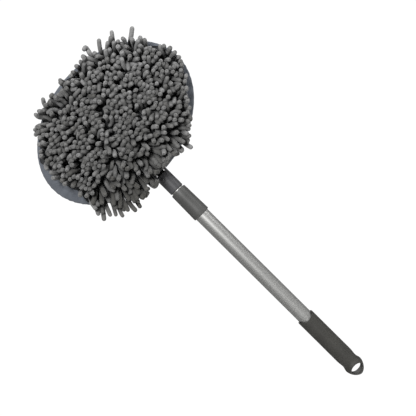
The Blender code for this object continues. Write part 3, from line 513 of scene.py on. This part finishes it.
def direction_of(u, v):
    return np.arctan2(v / COVER_HALF_HEIGHT, u / COVER_HALF_WIDTH)


def to_cover(points):
    """The u and v of places in the object's frame."""
    x, z = points[..., 0] - COVER_X, points[..., 2] - COVER_Z
    return x * COVER_ACROSS + z * COVER_UP, -x * COVER_UP + z * COVER_ACROSS


def capped(vectors, longest):
    """Shortens the rows that are longer than a limit."""
    size = np.linalg.norm(vectors, axis=1)
    return vectors * (np.minimum(size, longest) / np.maximum(size, 1e-6))[:, None]


def unit(vectors):
    return vectors / (np.linalg.norm(vectors, axis=1)[:, None] + 1e-9)


def slow_drift(u, v, seed):
    """A smooth field of leans, as hands leave it: a few long waves in changing directions."""
    turns = np.random.default_rng(seed)
    total = np.zeros((len(u), 2))
    for _ in range(10):
        wave, turn, phase = turns.uniform(0.022, 0.060), turns.uniform(0, tau), turns.uniform(0, tau)
        push = turns.uniform(0, tau)
        swing = np.sin(tau * (u * cos(turn) + v * sin(turn)) / wave + phase)
        total += swing[:, None] * np.array([cos(push), sin(push)])
    return total / sqrt(10)


# The sewn rows
row_step = FINGER_PITCH * sqrt(3) / 2
seeds = np.array([
    ((place_in_row + 0.5 * (row % 2)) * FINGER_PITCH, row * row_step)
    for row in range(-16, 17) for place_in_row in range(-20, 21)
])
seeds = seeds + rng.normal(0, SEWN_UNEVENLY, (len(seeds), 2))
inset = edge_in(direction_of(seeds[:, 0], seeds[:, 1]))
sewn_u, sewn_v = COVER_HALF_WIDTH - inset, COVER_HALF_HEIGHT - inset
inside = (seeds[:, 0] / sewn_u) ** 2 + (seeds[:, 1] / sewn_v) ** 2 < 1
roots = on_cover(seeds[:, 0], seeds[:, 1], panel_front(seeds[:, 0], seeds[:, 1]))
at_neck = (abs(roots[:, 0]) < FOAM_NOTCH + 0.001) & (roots[:, 2] < PIVOT_Z + 0.001)
keep = inside & ~at_neck
seeds, roots = seeds[keep], roots[keep]
count = len(seeds)
u, v = seeds[:, 0], seeds[:, 1]

# How each one leans: a vector in the panel's plane, 0 where it stands up and 1 where it lies
EDGE_BELT, FRINGE_BELT, NECK_BELT = 0.012, 0.024, 0.014
SPREAD, DRIFT, DRIFT_LOST, OWN_LEAN, OWN_LEAN_LOST = 0.10, 0.22, 0.6, 0.19, 0.06
SAG, FRINGE_SAG, PARTED, HOLLOWED = 0.10, 0.30, 0.62, 0.75
STRAY_BELT, STRAY_SHARE, STRAY_LEAN, STRAY_SWAY = 0.009, 0.10, 0.93, 0.12
LEAST_WANTED, MOST_WANTED, MOST_LEAN = -0.15, 0.96, 0.97
share = share_out(u, v)
edge_gap = np.hypot(u, v) / np.maximum(share, 1e-3) * (1 - share)
outward = unit(np.stack([u / COVER_HALF_WIDTH ** 2, v / COVER_HALF_HEIGHT ** 2], axis=-1))
direction = direction_of(u, v)
hang, up = towards(direction, FRINGE), towards(direction, UPPER_EDGE)
belt = EDGE_BELT + FRINGE_BELT * hang + NECK_BELT * towards(direction, BELOW_NECK)
wanted = np.clip((reach_out(direction) + edge_gap) / FINGER_LENGTH, LEAST_WANTED, MOST_WANTED)
at_edge = np.exp(-(edge_gap / belt) ** 2)
lean = outward * (wanted * at_edge + SPREAD * share)[:, None]
lean += slow_drift(u, v, 5) * (DRIFT * (1 - DRIFT_LOST * at_edge))[:, None]
lean += rng.normal(0, 1, (count, 2)) * (OWN_LEAN - OWN_LEAN_LOST * at_edge)[:, None]
lean[:, 1] -= SAG + FRINGE_SAG * hang * at_edge
for (u0, v0), (u1, v1) in PARTINGS:
    along = np.array([u1 - u0, v1 - v0])
    t = np.clip(((seeds - (u0, v0)) @ along) / (along @ along), 0, 1)
    away = seeds - (np.array([u0, v0]) + t[:, None] * along)
    gap = np.linalg.norm(away, axis=1)
    lean += away / (gap[:, None] + 1e-6) * (PARTED * np.exp(-(gap / PARTING_WIDTH) ** 2))[:, None]
for centre, radius in HOLLOWS:
    away = seeds - centre
    gap = np.linalg.norm(away, axis=1)
    lean += away / (gap[:, None] + 1e-6) * (HOLLOWED * np.exp(-(gap / radius) ** 2))[:, None]
# A few at the edge stick straight out on their own
stray = (edge_gap < STRAY_BELT) & (rng.random(count) < STRAY_SHARE)
lean[stray] = outward[stray] * STRAY_LEAN + rng.normal(0, STRAY_SWAY, (stray.sum(), 2))
lean = capped(lean, MOST_LEAN)

# Settling: each finger keeps its length, tends to its lean, and is pushed off the others
CUT_UNEVENLY, CUT_SHORTEST, CUT_LONGEST = 0.05, 0.88, 1.12
FRINGE_LONGER, UPPER_LONGER, STRAY_FREE = 0.36, 0.12, 0.05
TIPS_SHORT, TIPS_UNEVEN, TIPS_SHORTEST = -0.0030, 0.0016, -0.007
BEND = [0.30, 0.75, 1.0, 1.08, 1.12]  # how much of its lean each segment takes
LAID_BEND, LAID_FROM, MOST_TILT, CURL, CURL_LOST = 0.85, 0.5, 0.985, 0.34, 0.16
HOLD, EDGE_HOLD, FRINGE_HOLD, ROOT_GIVE, TIP_GIVE = 0.16, 0.14, 0.20, 0.45, 0.55
TOUCH, LOOK_PAST, PUSH_ON, STEPS = 2 * FINGER_R * 0.97, 1.35, 1.4, 90
BAND_FACE, BAND_SLOPE, BAND_THICK, BAND_FROM = -0.0165, 0.12, 0.0013, 0.88

finger_length = FINGER_LENGTH * rng.normal(1.0, CUT_UNEVENLY, count).clip(CUT_SHORTEST, CUT_LONGEST)
finger_length *= 1 + (FRINGE_LONGER * hang + UPPER_LONGER * up) * at_edge
furthest = rng.normal(TIPS_SHORT, TIPS_UNEVEN, count).clip(TIPS_SHORTEST, 0.0) + STRAY_FREE * stray
segment = finger_length / (JOINTS - 1)
curl = rng.normal(0, 1, (count, 2)) * (CURL - CURL_LOST * at_edge)[:, None]
laid = (at_edge * np.maximum(hang, wanted > LAID_FROM))[:, None]
aims = np.zeros((count, JOINTS - 1, 3))
origin = on_cover(np.zeros(1), np.zeros(1), 0.0)[0]
for k, bend in enumerate(BEND):
    tilt = lean * (bend * (1 - laid) + max(bend, LAID_BEND) * laid) + curl * ((k - 1) / 3) * (k > 1)
    tilt = capped(tilt, MOST_TILT)
    aim = on_cover(tilt[:, 0], tilt[:, 1], 0.0) - origin
    aim[:, 1] = -np.sqrt(np.maximum(1 - (tilt ** 2).sum(axis=1), 0))
    aims[:, k] = aim
chain = np.zeros((count, JOINTS, 3))
chain[:, 0] = roots
for k in range(JOINTS - 1):
    chain[:, k + 1] = chain[:, k] + aims[:, k] * segment[:, None]
owner = np.repeat(np.arange(count), JOINTS)
rank = np.tile(np.arange(JOINTS), count)
give = np.where(rank == 0, 0.0, ROOT_GIVE + TIP_GIVE * rank / (JOINTS - 1))
hold = (HOLD + (EDGE_HOLD + FRINGE_HOLD * hang) * at_edge)[:, None]


def near_pairs(points):
    """Pairs of points on different fingers that may soon touch."""
    finder = KDTree(len(points))
    for i, p in enumerate(points):
        finder.insert(p, i)
    finder.balance()
    found = []
    for i, p in enumerate(points):
        for _, j, _ in finder.find_range(p, TOUCH * LOOK_PAST):
            if j > i and owner[i] != owner[j]:
                found.append((i, j))
    return np.array(found)


def push_apart(points, pairs):
    """Moves touching points off each other, the nearer to the root the less."""
    gap = points[pairs[:, 0]] - points[pairs[:, 1]]
    distance = np.linalg.norm(gap, axis=1)
    close = distance < TOUCH
    one, two = pairs[close, 0], pairs[close, 1]
    push = gap[close] / (distance[close, None] + 1e-9) * ((TOUCH - distance[close]) * 0.5)[:, None]
    total = give[one] + give[two] + 1e-6
    moved, times = np.zeros_like(points), np.zeros(len(points))
    np.add.at(moved, one, push * (2 * give[one] / total)[:, None])
    np.add.at(moved, two, -push * (2 * give[two] / total)[:, None])
    np.add.at(times, one, 1.0)
    np.add.at(times, two, 1.0)
    return points + moved / np.maximum(times, 1)[:, None] * PUSH_ON


for step in range(STEPS):
    if step % 10 == 0:
        pairs = near_pairs(chain.reshape(-1, 3))
    for k in range(JOINTS - 1):
        goal = chain[:, k] + aims[:, k] * segment[:, None]
        chain[:, k + 1] += (goal - chain[:, k + 1]) * hold
    points = chain.reshape(-1, 3)
    for _ in range(2):
        points = push_apart(points, pairs)
    chain = points.reshape(count, JOINTS, 3)
    chain[:, 0] = roots
    for k in range(JOINTS - 1):
        chain[:, k + 1] = chain[:, k] + unit(chain[:, k + 1] - chain[:, k]) * segment[:, None]
    # None sinks into the ground cloth or the band
    cu, cv = to_cover(chain[:, 1:])
    out = share_out(cu, cv)
    limit = panel_front(cu, cv) - FINGER_R * 0.95
    past_edge = np.minimum(limit, BAND_FACE) + BAND_SLOPE * np.maximum(out - 1, 0)
    limit = np.where(out < 1.0, limit, past_edge) - BAND_THICK * (out > BAND_FROM)
    chain[:, 1:, 1] = np.minimum(chain[:, 1:, 1], limit)
    # None reaches further out than its neighbours let it
    way = direction_of(cu, cv)
    oval = np.hypot(cu / COVER_HALF_WIDTH, cv / COVER_HALF_HEIGHT)
    from_centre = np.hypot(cu, cv)
    free = from_centre / oval + np.maximum(reach_out(way) + furthest[:, None], -edge_in(way))
    held_back = np.minimum(free / from_centre, 1)
    held = on_cover(cu * held_back, cv * held_back, 0.0)
    chain[:, 1:, 0], chain[:, 1:, 2] = held[..., 0], held[..., 2]

# The cords themselves: a smooth line through each chain, and rings of points along it
t = np.linspace(0, JOINTS - 1, RINGS)
lower = np.minimum(t.astype(int), JOINTS - 2)
f = (t - lower)[None, :, None]
before, after = 2 * chain[:, :1] - chain[:, 1:2], 2 * chain[:, -1:] - chain[:, -2:-1]
run_on = np.concatenate([before, chain, after], axis=1)
p0, p1, p2, p3 = (run_on[:, lower + k] for k in range(4))
squared, cubed = 2 * p0 - 5 * p1 + 4 * p2 - p3, 3 * p1 - p0 - 3 * p2 + p3
line = 0.5 * (2 * p1 + (p2 - p0) * f + squared * f ** 2 + cubed * f ** 3)
tangent = np.gradient(line, axis=1)
tangent /= np.linalg.norm(tangent, axis=2)[..., None]
side = np.cross(tangent[:, 0], np.array([0.31, 0.22, 0.92]))
sides = []
for k in range(RINGS):
    side = unit(side - (side * tangent[:, k]).sum(axis=1)[:, None] * tangent[:, k])
    sides.append(side)
sides = np.stack(sides, axis=1)
other = np.cross(tangent, sides)
LUMPY, TIP_LUMPY, TIP_WIDE, TIP_LONG, DIMPLE_AT = 0.075, 0.05, 0.97, 0.92, 0.70
thickness = FINGER_R * rng.normal(1.0, 0.045, count).clip(0.9, 1.1)
swell = np.interp(np.linspace(0, 1, RINGS), [0, 0.12, 0.3, 0.85, 1.0], [0.72, 0.92, 1.0, 1.02, 0.97])
lumps = rng.normal(0, 1, (count, RINGS + 3, SIDES))
lumps = (lumps + np.roll(lumps, 1, 2) + np.roll(lumps, -1, 2)) / 3
lumps[:, 1:-1] = lumps[:, 1:-1] * 0.6 + (lumps[:, 2:] + lumps[:, :-2]) * 0.2
radius = thickness[:, None, None] * (swell[None, :, None] + LUMPY * lumps[:, :RINGS])
angle = np.arange(SIDES) * tau / SIDES
wheel = np.cos(angle)[None, None, :, None] * sides[:, :, None]
wheel = wheel + np.sin(angle)[None, None, :, None] * other[:, :, None]
rings_of_points = [line[:, :, None] + wheel * radius[..., None]]
for k, a in enumerate(TIP_ANGLES):
    shrink = thickness[:, None] * TIP_WIDE * cos(a) * (1 + TIP_LUMPY * lumps[:, RINGS + k])
    middle = line[:, -1, None] + tangent[:, -1, None] * (thickness * TIP_LONG * sin(a))[:, None, None]
    rings_of_points.append((middle + wheel[:, -1] * shrink[..., None])[:, None])
rings_of_points = np.concatenate(rings_of_points, axis=1)
ring_count = RINGS + len(TIP_ANGLES)
dimple = line[:, -1] + tangent[:, -1] * (thickness * DIMPLE_AT)[:, None]
finger_points = np.concatenate([rings_of_points.reshape(count, -1, 3), dimple[:, None]], axis=1)
per_finger = ring_count * SIDES + 1
one_finger = []
for k in range(ring_count - 1):
    one, two = k * SIDES, (k + 1) * SIDES
    for i in range(SIDES):
        j = (i + 1) % SIDES
        one_finger.append((one + i, one + j, two + j, two + i))
last = (ring_count - 1) * SIDES
one_finger += [(last + i, last + (i + 1) % SIDES, per_finger - 1) for i in range(SIDES)]

# Painted shade where the pile hangs lowest and painted light at the top, over a random tone for each finger
PAINTED_SHADE_AT, PAINTED_SHADE_RADIUS, PAINTED_LIGHT_AT, PAINTED_LIGHT_RADIUS = (-0.055, -0.085), 0.05, (0.07, 0.05), 0.06
tone_and_painted_light = rng.normal(0.5, 0.15, count)
painted_light = 0.30 * np.exp(-((seeds - PAINTED_LIGHT_AT) ** 2).sum(axis=1) / PAINTED_LIGHT_RADIUS ** 2)
painted_shade = 0.55 * np.exp(-((seeds - PAINTED_SHADE_AT) ** 2).sum(axis=1) / PAINTED_SHADE_RADIUS ** 2)
tone_and_painted_light = (tone_and_painted_light + (painted_light - painted_shade).clip(-0.5, 0.5)).clip(0, 1)
# Painted shade in the dimple at each tip: part on the last ring, full at the dimple's point
dimple_shade_share = np.concatenate([np.zeros((ring_count - 1) * SIDES), np.full(SIDES, 0.35), [1.0]])

# How deep each point lies under the pile's top, from a grid of the tips around it: painted shade deep in
# the pile, painted light at its top
CELL, AROUND = 0.0022, 3
GRID_U, GRID_V = 0.18, 0.15
pu, pv = to_cover(finger_points)
column, row = ((pu + GRID_U) / CELL).astype(int), ((pv + GRID_V) / CELL).astype(int)
top = np.full((int(2 * GRID_U / CELL) + 1, int(2 * GRID_V / CELL) + 1), 0.0)
np.minimum.at(top, (column.ravel(), row.ravel()), finger_points[..., 1].ravel())
for _ in range(AROUND):
    bordered = np.pad(top, 1, mode="edge")
    top = sum(
        bordered[i:i + top.shape[0], j:j + top.shape[1]] * 0.2
        for i, j in ((0, 1), (2, 1), (1, 0), (1, 2), (1, 1))
    )
buried = np.clip(finger_points[..., 1] - top[column, row], -0.004, 0.020)

# Tufts of cut microfibre, 0.9 mm apart, give a velvety speckle; single fibres are too fine to
# show. The dye is charcoal, with painted light on the pile's top and painted shade deep between the fingers
# and in the dimple at each cut tip.
chenille, tree, shader, place = new_material("microfibre_chenille")
# Each finger's random tone, with painted shade where it hangs lowest and painted light at the top
tone_with_painted_light = add(tree, "Attribute", {"attribute_name": "finger_tone_and_painted_light"}).outputs["Fac"]
depth = add(tree, "Attribute", {"attribute_name": "depth_in_pile"}).outputs["Fac"]
dimple_shade = add(tree, "Attribute", {"attribute_name": "tip_dimple_shade"}).outputs["Fac"]
tufts = add(tree, "TexNoise", {"Scale": 11 / 0.010, "Detail": 3.0, "Roughness": 0.65}, {"Vector": place})
tone = add(tree, "ValToRGB", {"tones": ((0.0, "#4b4a47"), (1.0, "#838383"))}, {"Fac": tone_with_painted_light})
fleck = add(tree, "MapRange", {"From Min": 0.3, "From Max": 0.7, "To Min": 0.62, "To Max": 1.22},
            {"Value": tufts})
# Painted shade and light by depth: a little lighter than the tone at the pile's top, nearly black deep
# between the fingers
shade = add(tree, "MapRange", {"From Min": -0.0030, "From Max": 0.0066, "To Min": 1.17, "To Max": 0.02},
            {"Value": depth})
dim = add(tree, "Math", {"operation": "MULTIPLY"}, {0: fleck, 1: shade})
# Painted shade in the tip dimples
hollow = add(tree, "MapRange", {"To Min": 1.0, "To Max": 0.35}, {"Value": dimple_shade})
dim = add(tree, "Math", {"operation": "MULTIPLY"}, {0: dim, 1: hollow})
mixed = add(tree, "VectorMath", {"operation": "SCALE"}, {0: tone, "Scale": dim})
dent = add(tree, "Bump", {"Strength": 0.7, "Distance": 0.0005}, {"Height": tufts})
fit_out(tree, shader, {
    "Roughness": 0.95, "Specular IOR Level": 0.25, "Sheen Weight": 0.5, "Sheen Roughness": 0.45,
    "Sheen Tint": linear("#b8b8b8"),
}, {"Base Color": mixed, "Normal": dent})

for number, chosen in enumerate(np.array_split(np.argsort(v), 6)):
    faces = [tuple(n * per_finger + i for i in face) for n in range(len(chosen)) for face in one_finger]
    points = finger_points[chosen].reshape(-1, 3).tolist()
    bunch = build(f"chenille_fingers_{number + 1}", points, faces, chenille, "head", sharp=180.0)
    for name, values in (
        ("finger_tone_and_painted_light", np.repeat(tone_and_painted_light[chosen], per_finger)),
        ("depth_in_pile", buried[chosen].ravel()),
        ("tip_dimple_shade", np.tile(dimple_shade_share, len(chosen))),
    ):
        layer = bunch.data.attributes.new(name, "FLOAT", "POINT")
        layer.data.foreach_set("value", values.astype(np.float32))
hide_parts("chenille_pile")

# ---- Side band ----
# A strip of blue-grey polyester interlock, sewn round between the front and the back. The foam
# crowns it outwards. It is turned over both edges, as far as the fingers leave room in front,
# and puckers a little between the stitches of both seams.

BAND_TURNS = 576
BAND_FRONT, BAND_BACK = -0.013, 0.005  # it faces forward before the one and back past the other
PUCKER, FOLD, SEWN_UNDER = 0.0004, 0.0010, 0.0026
STITCH, STITCH_PITCH, THREAD_R = 0.0026, 0.0036, 0.00028
FRONT_SEAM_SHARE, FRONT_SEAM_LIFT, BACK_SEAM_IN, BACK_SEAM_Y = 0.60, 0.00125, 0.0036, 0.00625

# Fine knitted cloth: ribs 0.7 mm apart give a soft matt grain, with a low sheen of fine fibres
# at the edges, and uneven dye and dust in clouds of 11 mm.
band_cloth, tree, shader, place = new_material("polyester_interlock")
ribs = add(tree, "TexNoise", {"Scale": 7 / 0.005, "Detail": 2.0}, {"Vector": place})
cloud = add(tree, "TexNoise", {"Scale": 9 / 0.100, "Detail": 4.0}, {"Vector": place})
tone = add(tree, "ValToRGB", {"tones": ((0.25, "#4a4e55"), (0.75, "#5a5e65"))}, {"Fac": cloud})
dent = add(tree, "Bump", {"Strength": 0.5, "Distance": 0.0003}, {"Height": ribs})
fit_out(tree, shader, {"Roughness": 0.9, "Sheen Weight": 0.2}, {"Base Color": tone, "Normal": dent})

# Twisted thread, a little lighter than the cloth, with twists 0.4 mm apart.
thread, tree, shader, place = new_material("twisted_polyester_thread")
twist = add(tree, "TexNoise", {"Scale": 1 / 0.0004, "Detail": 2.0}, {"Vector": place})
tone = add(tree, "ValToRGB", {"tones": ((0.0, "#4d525b"), (1.0, "#6d737d"))}, {"Fac": twist})
fit_out(tree, shader, {"Roughness": 0.7}, {"Base Color": tone})

band_turn = np.arange(BAND_TURNS) * tau / BAND_TURNS
puckers = 0.6 * np.sin(64 * band_turn + 1.5 * np.sin(5 * band_turn))
puckers += 0.4 * np.sin(97 * band_turn + 2 * np.sin(3 * band_turn) + 1)


def hooped(loops):
    """Points and faces of a closed ring whose cross-section is one point of every loop."""
    count, faces = len(loops[0]), []
    for k in range(len(loops)):
        one, two = k * count, (k + 1) % len(loops) * count
        for i in range(count):
            j = (i + 1) % count
            faces.append((one + i, one + j, two + j, two + i))
    return [p for loop in loops for p in loop], faces


def round_cover(offset, y=None, lift=0.0):
    """A loop at an offset from the cover's edge, at a depth or lifted off the front panel."""
    u = (COVER_HALF_WIDTH + offset) * np.cos(band_turn)
    v = (COVER_HALF_HEIGHT + offset) * np.sin(band_turn)
    return on_cover(u, v, panel_front(u, v) - lift if y is None else y)


def sewn(name, path, length, pitch):
    """Thread stitches lying end to end along a closed path of points."""
    steps = np.linalg.norm(np.roll(path, -1, 0) - path, axis=1)
    total, reached = steps.sum(), np.concatenate([[0], steps.cumsum()])
    closed = np.vstack([path, path[:1]])
    points, faces, around = [], [], np.arange(6) * tau / 6
    for n in range(int(total / pitch)):
        at = (n + 0.5) * pitch
        start, end = (
            np.array([np.interp((at + s * length / 2) % total, reached, closed[:, i]) for i in range(3)])
            for s in (-1, 1)
        )
        along = (end - start) / np.linalg.norm(end - start)
        one = np.cross(along, (0.1, 1.0, 0.2))
        one /= np.linalg.norm(one)
        two = np.cross(along, one)
        first = len(points)
        for t, swell in ((0.02, 0.45), (0.2, 0.95), (0.5, 1.0), (0.8, 0.95), (0.98, 0.45)):
            middle = start + (end - start) * t
            points += [middle + THREAD_R * swell * (one * cos(a) + two * sin(a)) for a in around]
        for k in range(first, first + 24, 6):
            for i in range(6):
                j = (i + 1) % 6
                faces.append((k + i, k + j, k + 6 + j, k + 6 + i))
        faces += [[first + i for i in range(6)][::-1], [first + 24 + i for i in range(6)]]
    return build(name, points, faces, thread, "head", sharp=60.0)


turn_over = edge_in(band_turn) - SEWN_UNDER
loops = []
for offset, y, pucker in (
    (-0.0046, 0.0064, 0.3), (-0.0036, 0.0060, 0.4), (-0.0028, 0.0066, 0.8), (-0.0016, 0.0065, 1.0),
    (-0.0006, 0.0052, 0.9), (0.0001, 0.0025, 0.5), (0.0005, -0.0010, 0.25), (0.0006, -0.0045, 0.2),
    (0.0004, -0.0080, 0.35), (0.0000, -0.0104, 0.7), (0.0005, -0.0120, 0.8), (0.0002, -0.0135, 0.6),
    (-0.0008, -0.0144, 0.4),
):
    facing = 1 if y > BAND_BACK else (-1 if y < BAND_FRONT else 0)
    rise = PUCKER * pucker * puckers
    loops.append(round_cover(offset + rise * (facing == 0), y + facing * rise))
for f, thick, pucker in (
    (0.15, 0.0013, 0.4), (0.35, 0.0012, 0.5), (0.55, 0.0012, 0.7), (0.75, 0.0011, 0.9),
    (0.88, 0.0017, 0.7), (0.97, 0.0017, 0.4), (1.02, 0.0009, 0.1),
):
    loops.append(round_cover(-FOLD - (turn_over - FOLD) * f, lift=thick + PUCKER * pucker * puckers))
for f in (1.0, 0.7, 0.4, 0.1):
    loops.append(round_cover(-FOLD - (turn_over - FOLD) * f, lift=0.0002))
for offset, y in (
    (-0.0008, -0.0130), (-0.0008, -0.0118), (-0.0014, -0.0108), (-0.0010, -0.0080), (-0.0008, -0.0030),
    (-0.0010, 0.0010), (-0.0020, 0.0040), (-0.0030, 0.0052), (-0.0046, 0.0052),
):
    loops.append(round_cover(offset, y))
band = build("side_band_cloth", *hooped(loops), band_cloth, "head", sharp=70.0)
front_line = round_cover(-turn_over * FRONT_SEAM_SHARE - 0.0006, lift=FRONT_SEAM_LIFT)
front_seam = sewn("front_seam_thread", front_line, STITCH, STITCH_PITCH)
back_seam = sewn("back_seam_thread", round_cover(-BACK_SEAM_IN, BACK_SEAM_Y), STITCH, STITCH_PITCH)
for piece in (band, front_seam, back_seam):
    cut_notch(piece, CLOTH_NOTCH, NOTCH_TOP)
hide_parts("side_band")

# ---- Back panel ----
# The same interlock behind the plate, with an oval opening. The elastic in its hem draws it
# together, so it lies in fine gathers that run out from the opening and die away.

OPEN_U, OPEN_V, PANEL_SEWN_IN = 0.0716, 0.0436, 0.0047
PANEL_OUTSIDE, PANEL_INSIDE = (0.0065, 1.0), (0.0053, 0.85)  # depth, and share of the folds
GATHER, BROAD_FOLD, SEAM_PUCKER = 0.0009, 0.0005, 0.00035
ACROSS_PANEL = (0.0, 0.04, 0.09, 0.16, 0.25, 0.35, 0.46, 0.57, 0.68, 0.78, 0.87, 0.94, 1.0)

gathers = 0.55 * np.sin(58 * band_turn + 2.0 * np.sin(4 * band_turn))
gathers += 0.45 * np.sin(83 * band_turn + 1.6 * np.sin(7 * band_turn) + 2)
broad = np.sin(19 * band_turn + 1.2 * np.sin(3 * band_turn))
outer_u, outer_v = COVER_HALF_WIDTH - PANEL_SEWN_IN, COVER_HALF_HEIGHT - PANEL_SEWN_IN
loops = []
for (y, share_of_fold), places in ((PANEL_OUTSIDE, ACROSS_PANEL), (PANEL_INSIDE, ACROSS_PANEL[::-1])):
    for f in places:
        near = f ** 1.6
        fold = GATHER * near * (1 + gathers) + BROAD_FOLD * (1 - near) * f * (1 + broad)
        fold += SEAM_PUCKER * (1 - f) ** 6 * (1 + puckers)
        u = (outer_u + (OPEN_U - outer_u) * f) * np.cos(band_turn)
        v = (outer_v + (OPEN_V - outer_v) * f) * np.sin(band_turn)
        loops.append(on_cover(u, v, y + fold * share_of_fold))
panel = build("back_panel_cloth", *hooped(loops), band_cloth, "head", sharp=70.0)
cut_notch(panel, CLOTH_NOTCH, NOTCH_TOP)
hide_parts("back_panel")

# ---- Elastic hem ----
# A 6 mm elastic in a folded casing round the opening. Sewn in stretched, it crowds the casing
# into tight little gathers.

HEM_U, HEM_V, HEM_Y, HEM_R, HEM_TURNS, HEM_SIDES = 0.0700, 0.0420, 0.0075, 0.0018, 880, 12
HEM_STITCH, HEM_STITCH_PITCH, HEM_SEAM_OUT, HEM_SEAM_Y = 0.0024, 0.0034, 0.0022, 0.0066

turn = np.arange(HEM_TURNS) * tau / HEM_TURNS
crowd = 0.6 * np.sin(104 * turn + 2.4 * np.sin(5 * turn)) + 0.4 * np.sin(151 * turn + 2 * np.sin(8 * turn))
loops = []
for k in range(HEM_SIDES):
    a = k * tau / HEM_SIDES
    radius = HEM_R * (1 + 0.15 * crowd + 0.05 * np.sin(151 * turn + 2 * a))
    u, v = (HEM_U + radius * cos(a)) * np.cos(turn), (HEM_V + radius * cos(a)) * np.sin(turn)
    loops.append(on_cover(u, v, HEM_Y + radius * sin(a)))
hem = build("elastic_hem_casing", *hooped(loops), band_cloth, "head", sharp=80.0)
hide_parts("elastic_hem")
hem_line = on_cover(
    (OPEN_U + HEM_SEAM_OUT) * np.cos(band_turn), (OPEN_V + HEM_SEAM_OUT) * np.sin(band_turn),
    HEM_SEAM_Y + GATHER * 0.92 * (1 + gathers),
)
hem_seam = sewn("hem_seam_thread", hem_line, HEM_STITCH, HEM_STITCH_PITCH)

# ---- Camera, floor and lights ----
# The camera looks straight at the chenille face and is rolled so that the pole runs from the
# upper left to the lower right. Broad soft lights over a plain pale floor: the brighter one in
# front, a wider one from the right, and one behind.

CAMERA_PLACE, CAMERA_ROLL, CAMERA_LENS = (0.0124, -0.987, 0.26115), radians(-45.23), 60.6
FLOOR_HALF, FLOOR_BACK, FLOOR_Z = 1.2, 0.5, -0.42
LIGHTS_AIM = Vector((0, 0, 0.36))
BACKDROP_LIGHT, ROOM_LIGHT = 1.05, 0.24

camera_data = bpy.data.cameras.new("camera")
camera_data.lens, camera_data.sensor_width = CAMERA_LENS, 36.0
camera_data.clip_start, camera_data.clip_end = 0.05, 20.0
camera = bpy.data.objects.new("camera", camera_data)
bpy.context.scene.collection.objects.link(camera)
upright, rolled = Matrix.Rotation(radians(90), 4, "X"), Matrix.Rotation(CAMERA_ROLL, 4, "Z")
camera.matrix_world = Matrix.Translation(CAMERA_PLACE) @ upright @ rolled
bpy.context.scene.camera = camera

# Matt white board, very slightly cloudy: three clouds to the metre.
floor_board, tree, shader, place = new_material("matt_white_board")
cloud = add(tree, "TexNoise", {"Scale": 3.0, "Detail": 3.0}, {"Vector": place})
tone = add(tree, "ValToRGB", {"tones": ((0.0, "#ededec"), (1.0, "#f4f4f3"))}, {"Fac": cloud})
fit_out(tree, shader, {"Roughness": 0.8}, {"Base Color": tone})
front, back = -FLOOR_HALF, FLOOR_BACK
corners = ((-FLOOR_HALF, front), (FLOOR_HALF, front), (FLOOR_HALF, back), (-FLOOR_HALF, back))
floor = build("floor", [(x, y, FLOOR_Z) for x, y in corners], [(0, 1, 2, 3)], floor_board, None)

for name, location, width, power in (
    ("key", (-0.06, -1.25, 0.94), 0.50, 22.0),
    ("fill", (1.30, -0.42, 0.95), 1.1, 11.0),
    ("back", (0.3, 1.7, 1.0), 1.6, 12.0),
):
    lamp_data = bpy.data.lights.new(name, "AREA")
    lamp_data.shape, lamp_data.size, lamp_data.energy = "DISK", width, power
    lamp = bpy.data.objects.new(name, lamp_data)
    bpy.context.scene.collection.objects.link(lamp)
    lamp.location = location
    lamp.rotation_euler = (LIGHTS_AIM - Vector(location)).to_track_quat("-Z", "Y").to_euler()

world = bpy.data.worlds.new("studio")
bpy.context.scene.world = world
world.use_nodes = True
tree = world.node_tree
tree.nodes.clear()
seen = add(tree, "LightPath").outputs["Is Camera Ray"]
white = add(tree, "Background", {"Color": (1.0, 1.0, 1.0, 1.0), "Strength": BACKDROP_LIGHT})
around = add(tree, "Background", {"Color": (1.0, 1.0, 1.0, 1.0), "Strength": ROOM_LIGHT})
either = add(tree, "MixShader", {}, {0: seen, 1: around, 2: white})
add(tree, "OutputWorld", {}, {"Surface": either})
bpy.context.scene.view_settings.view_transform = "Standard"
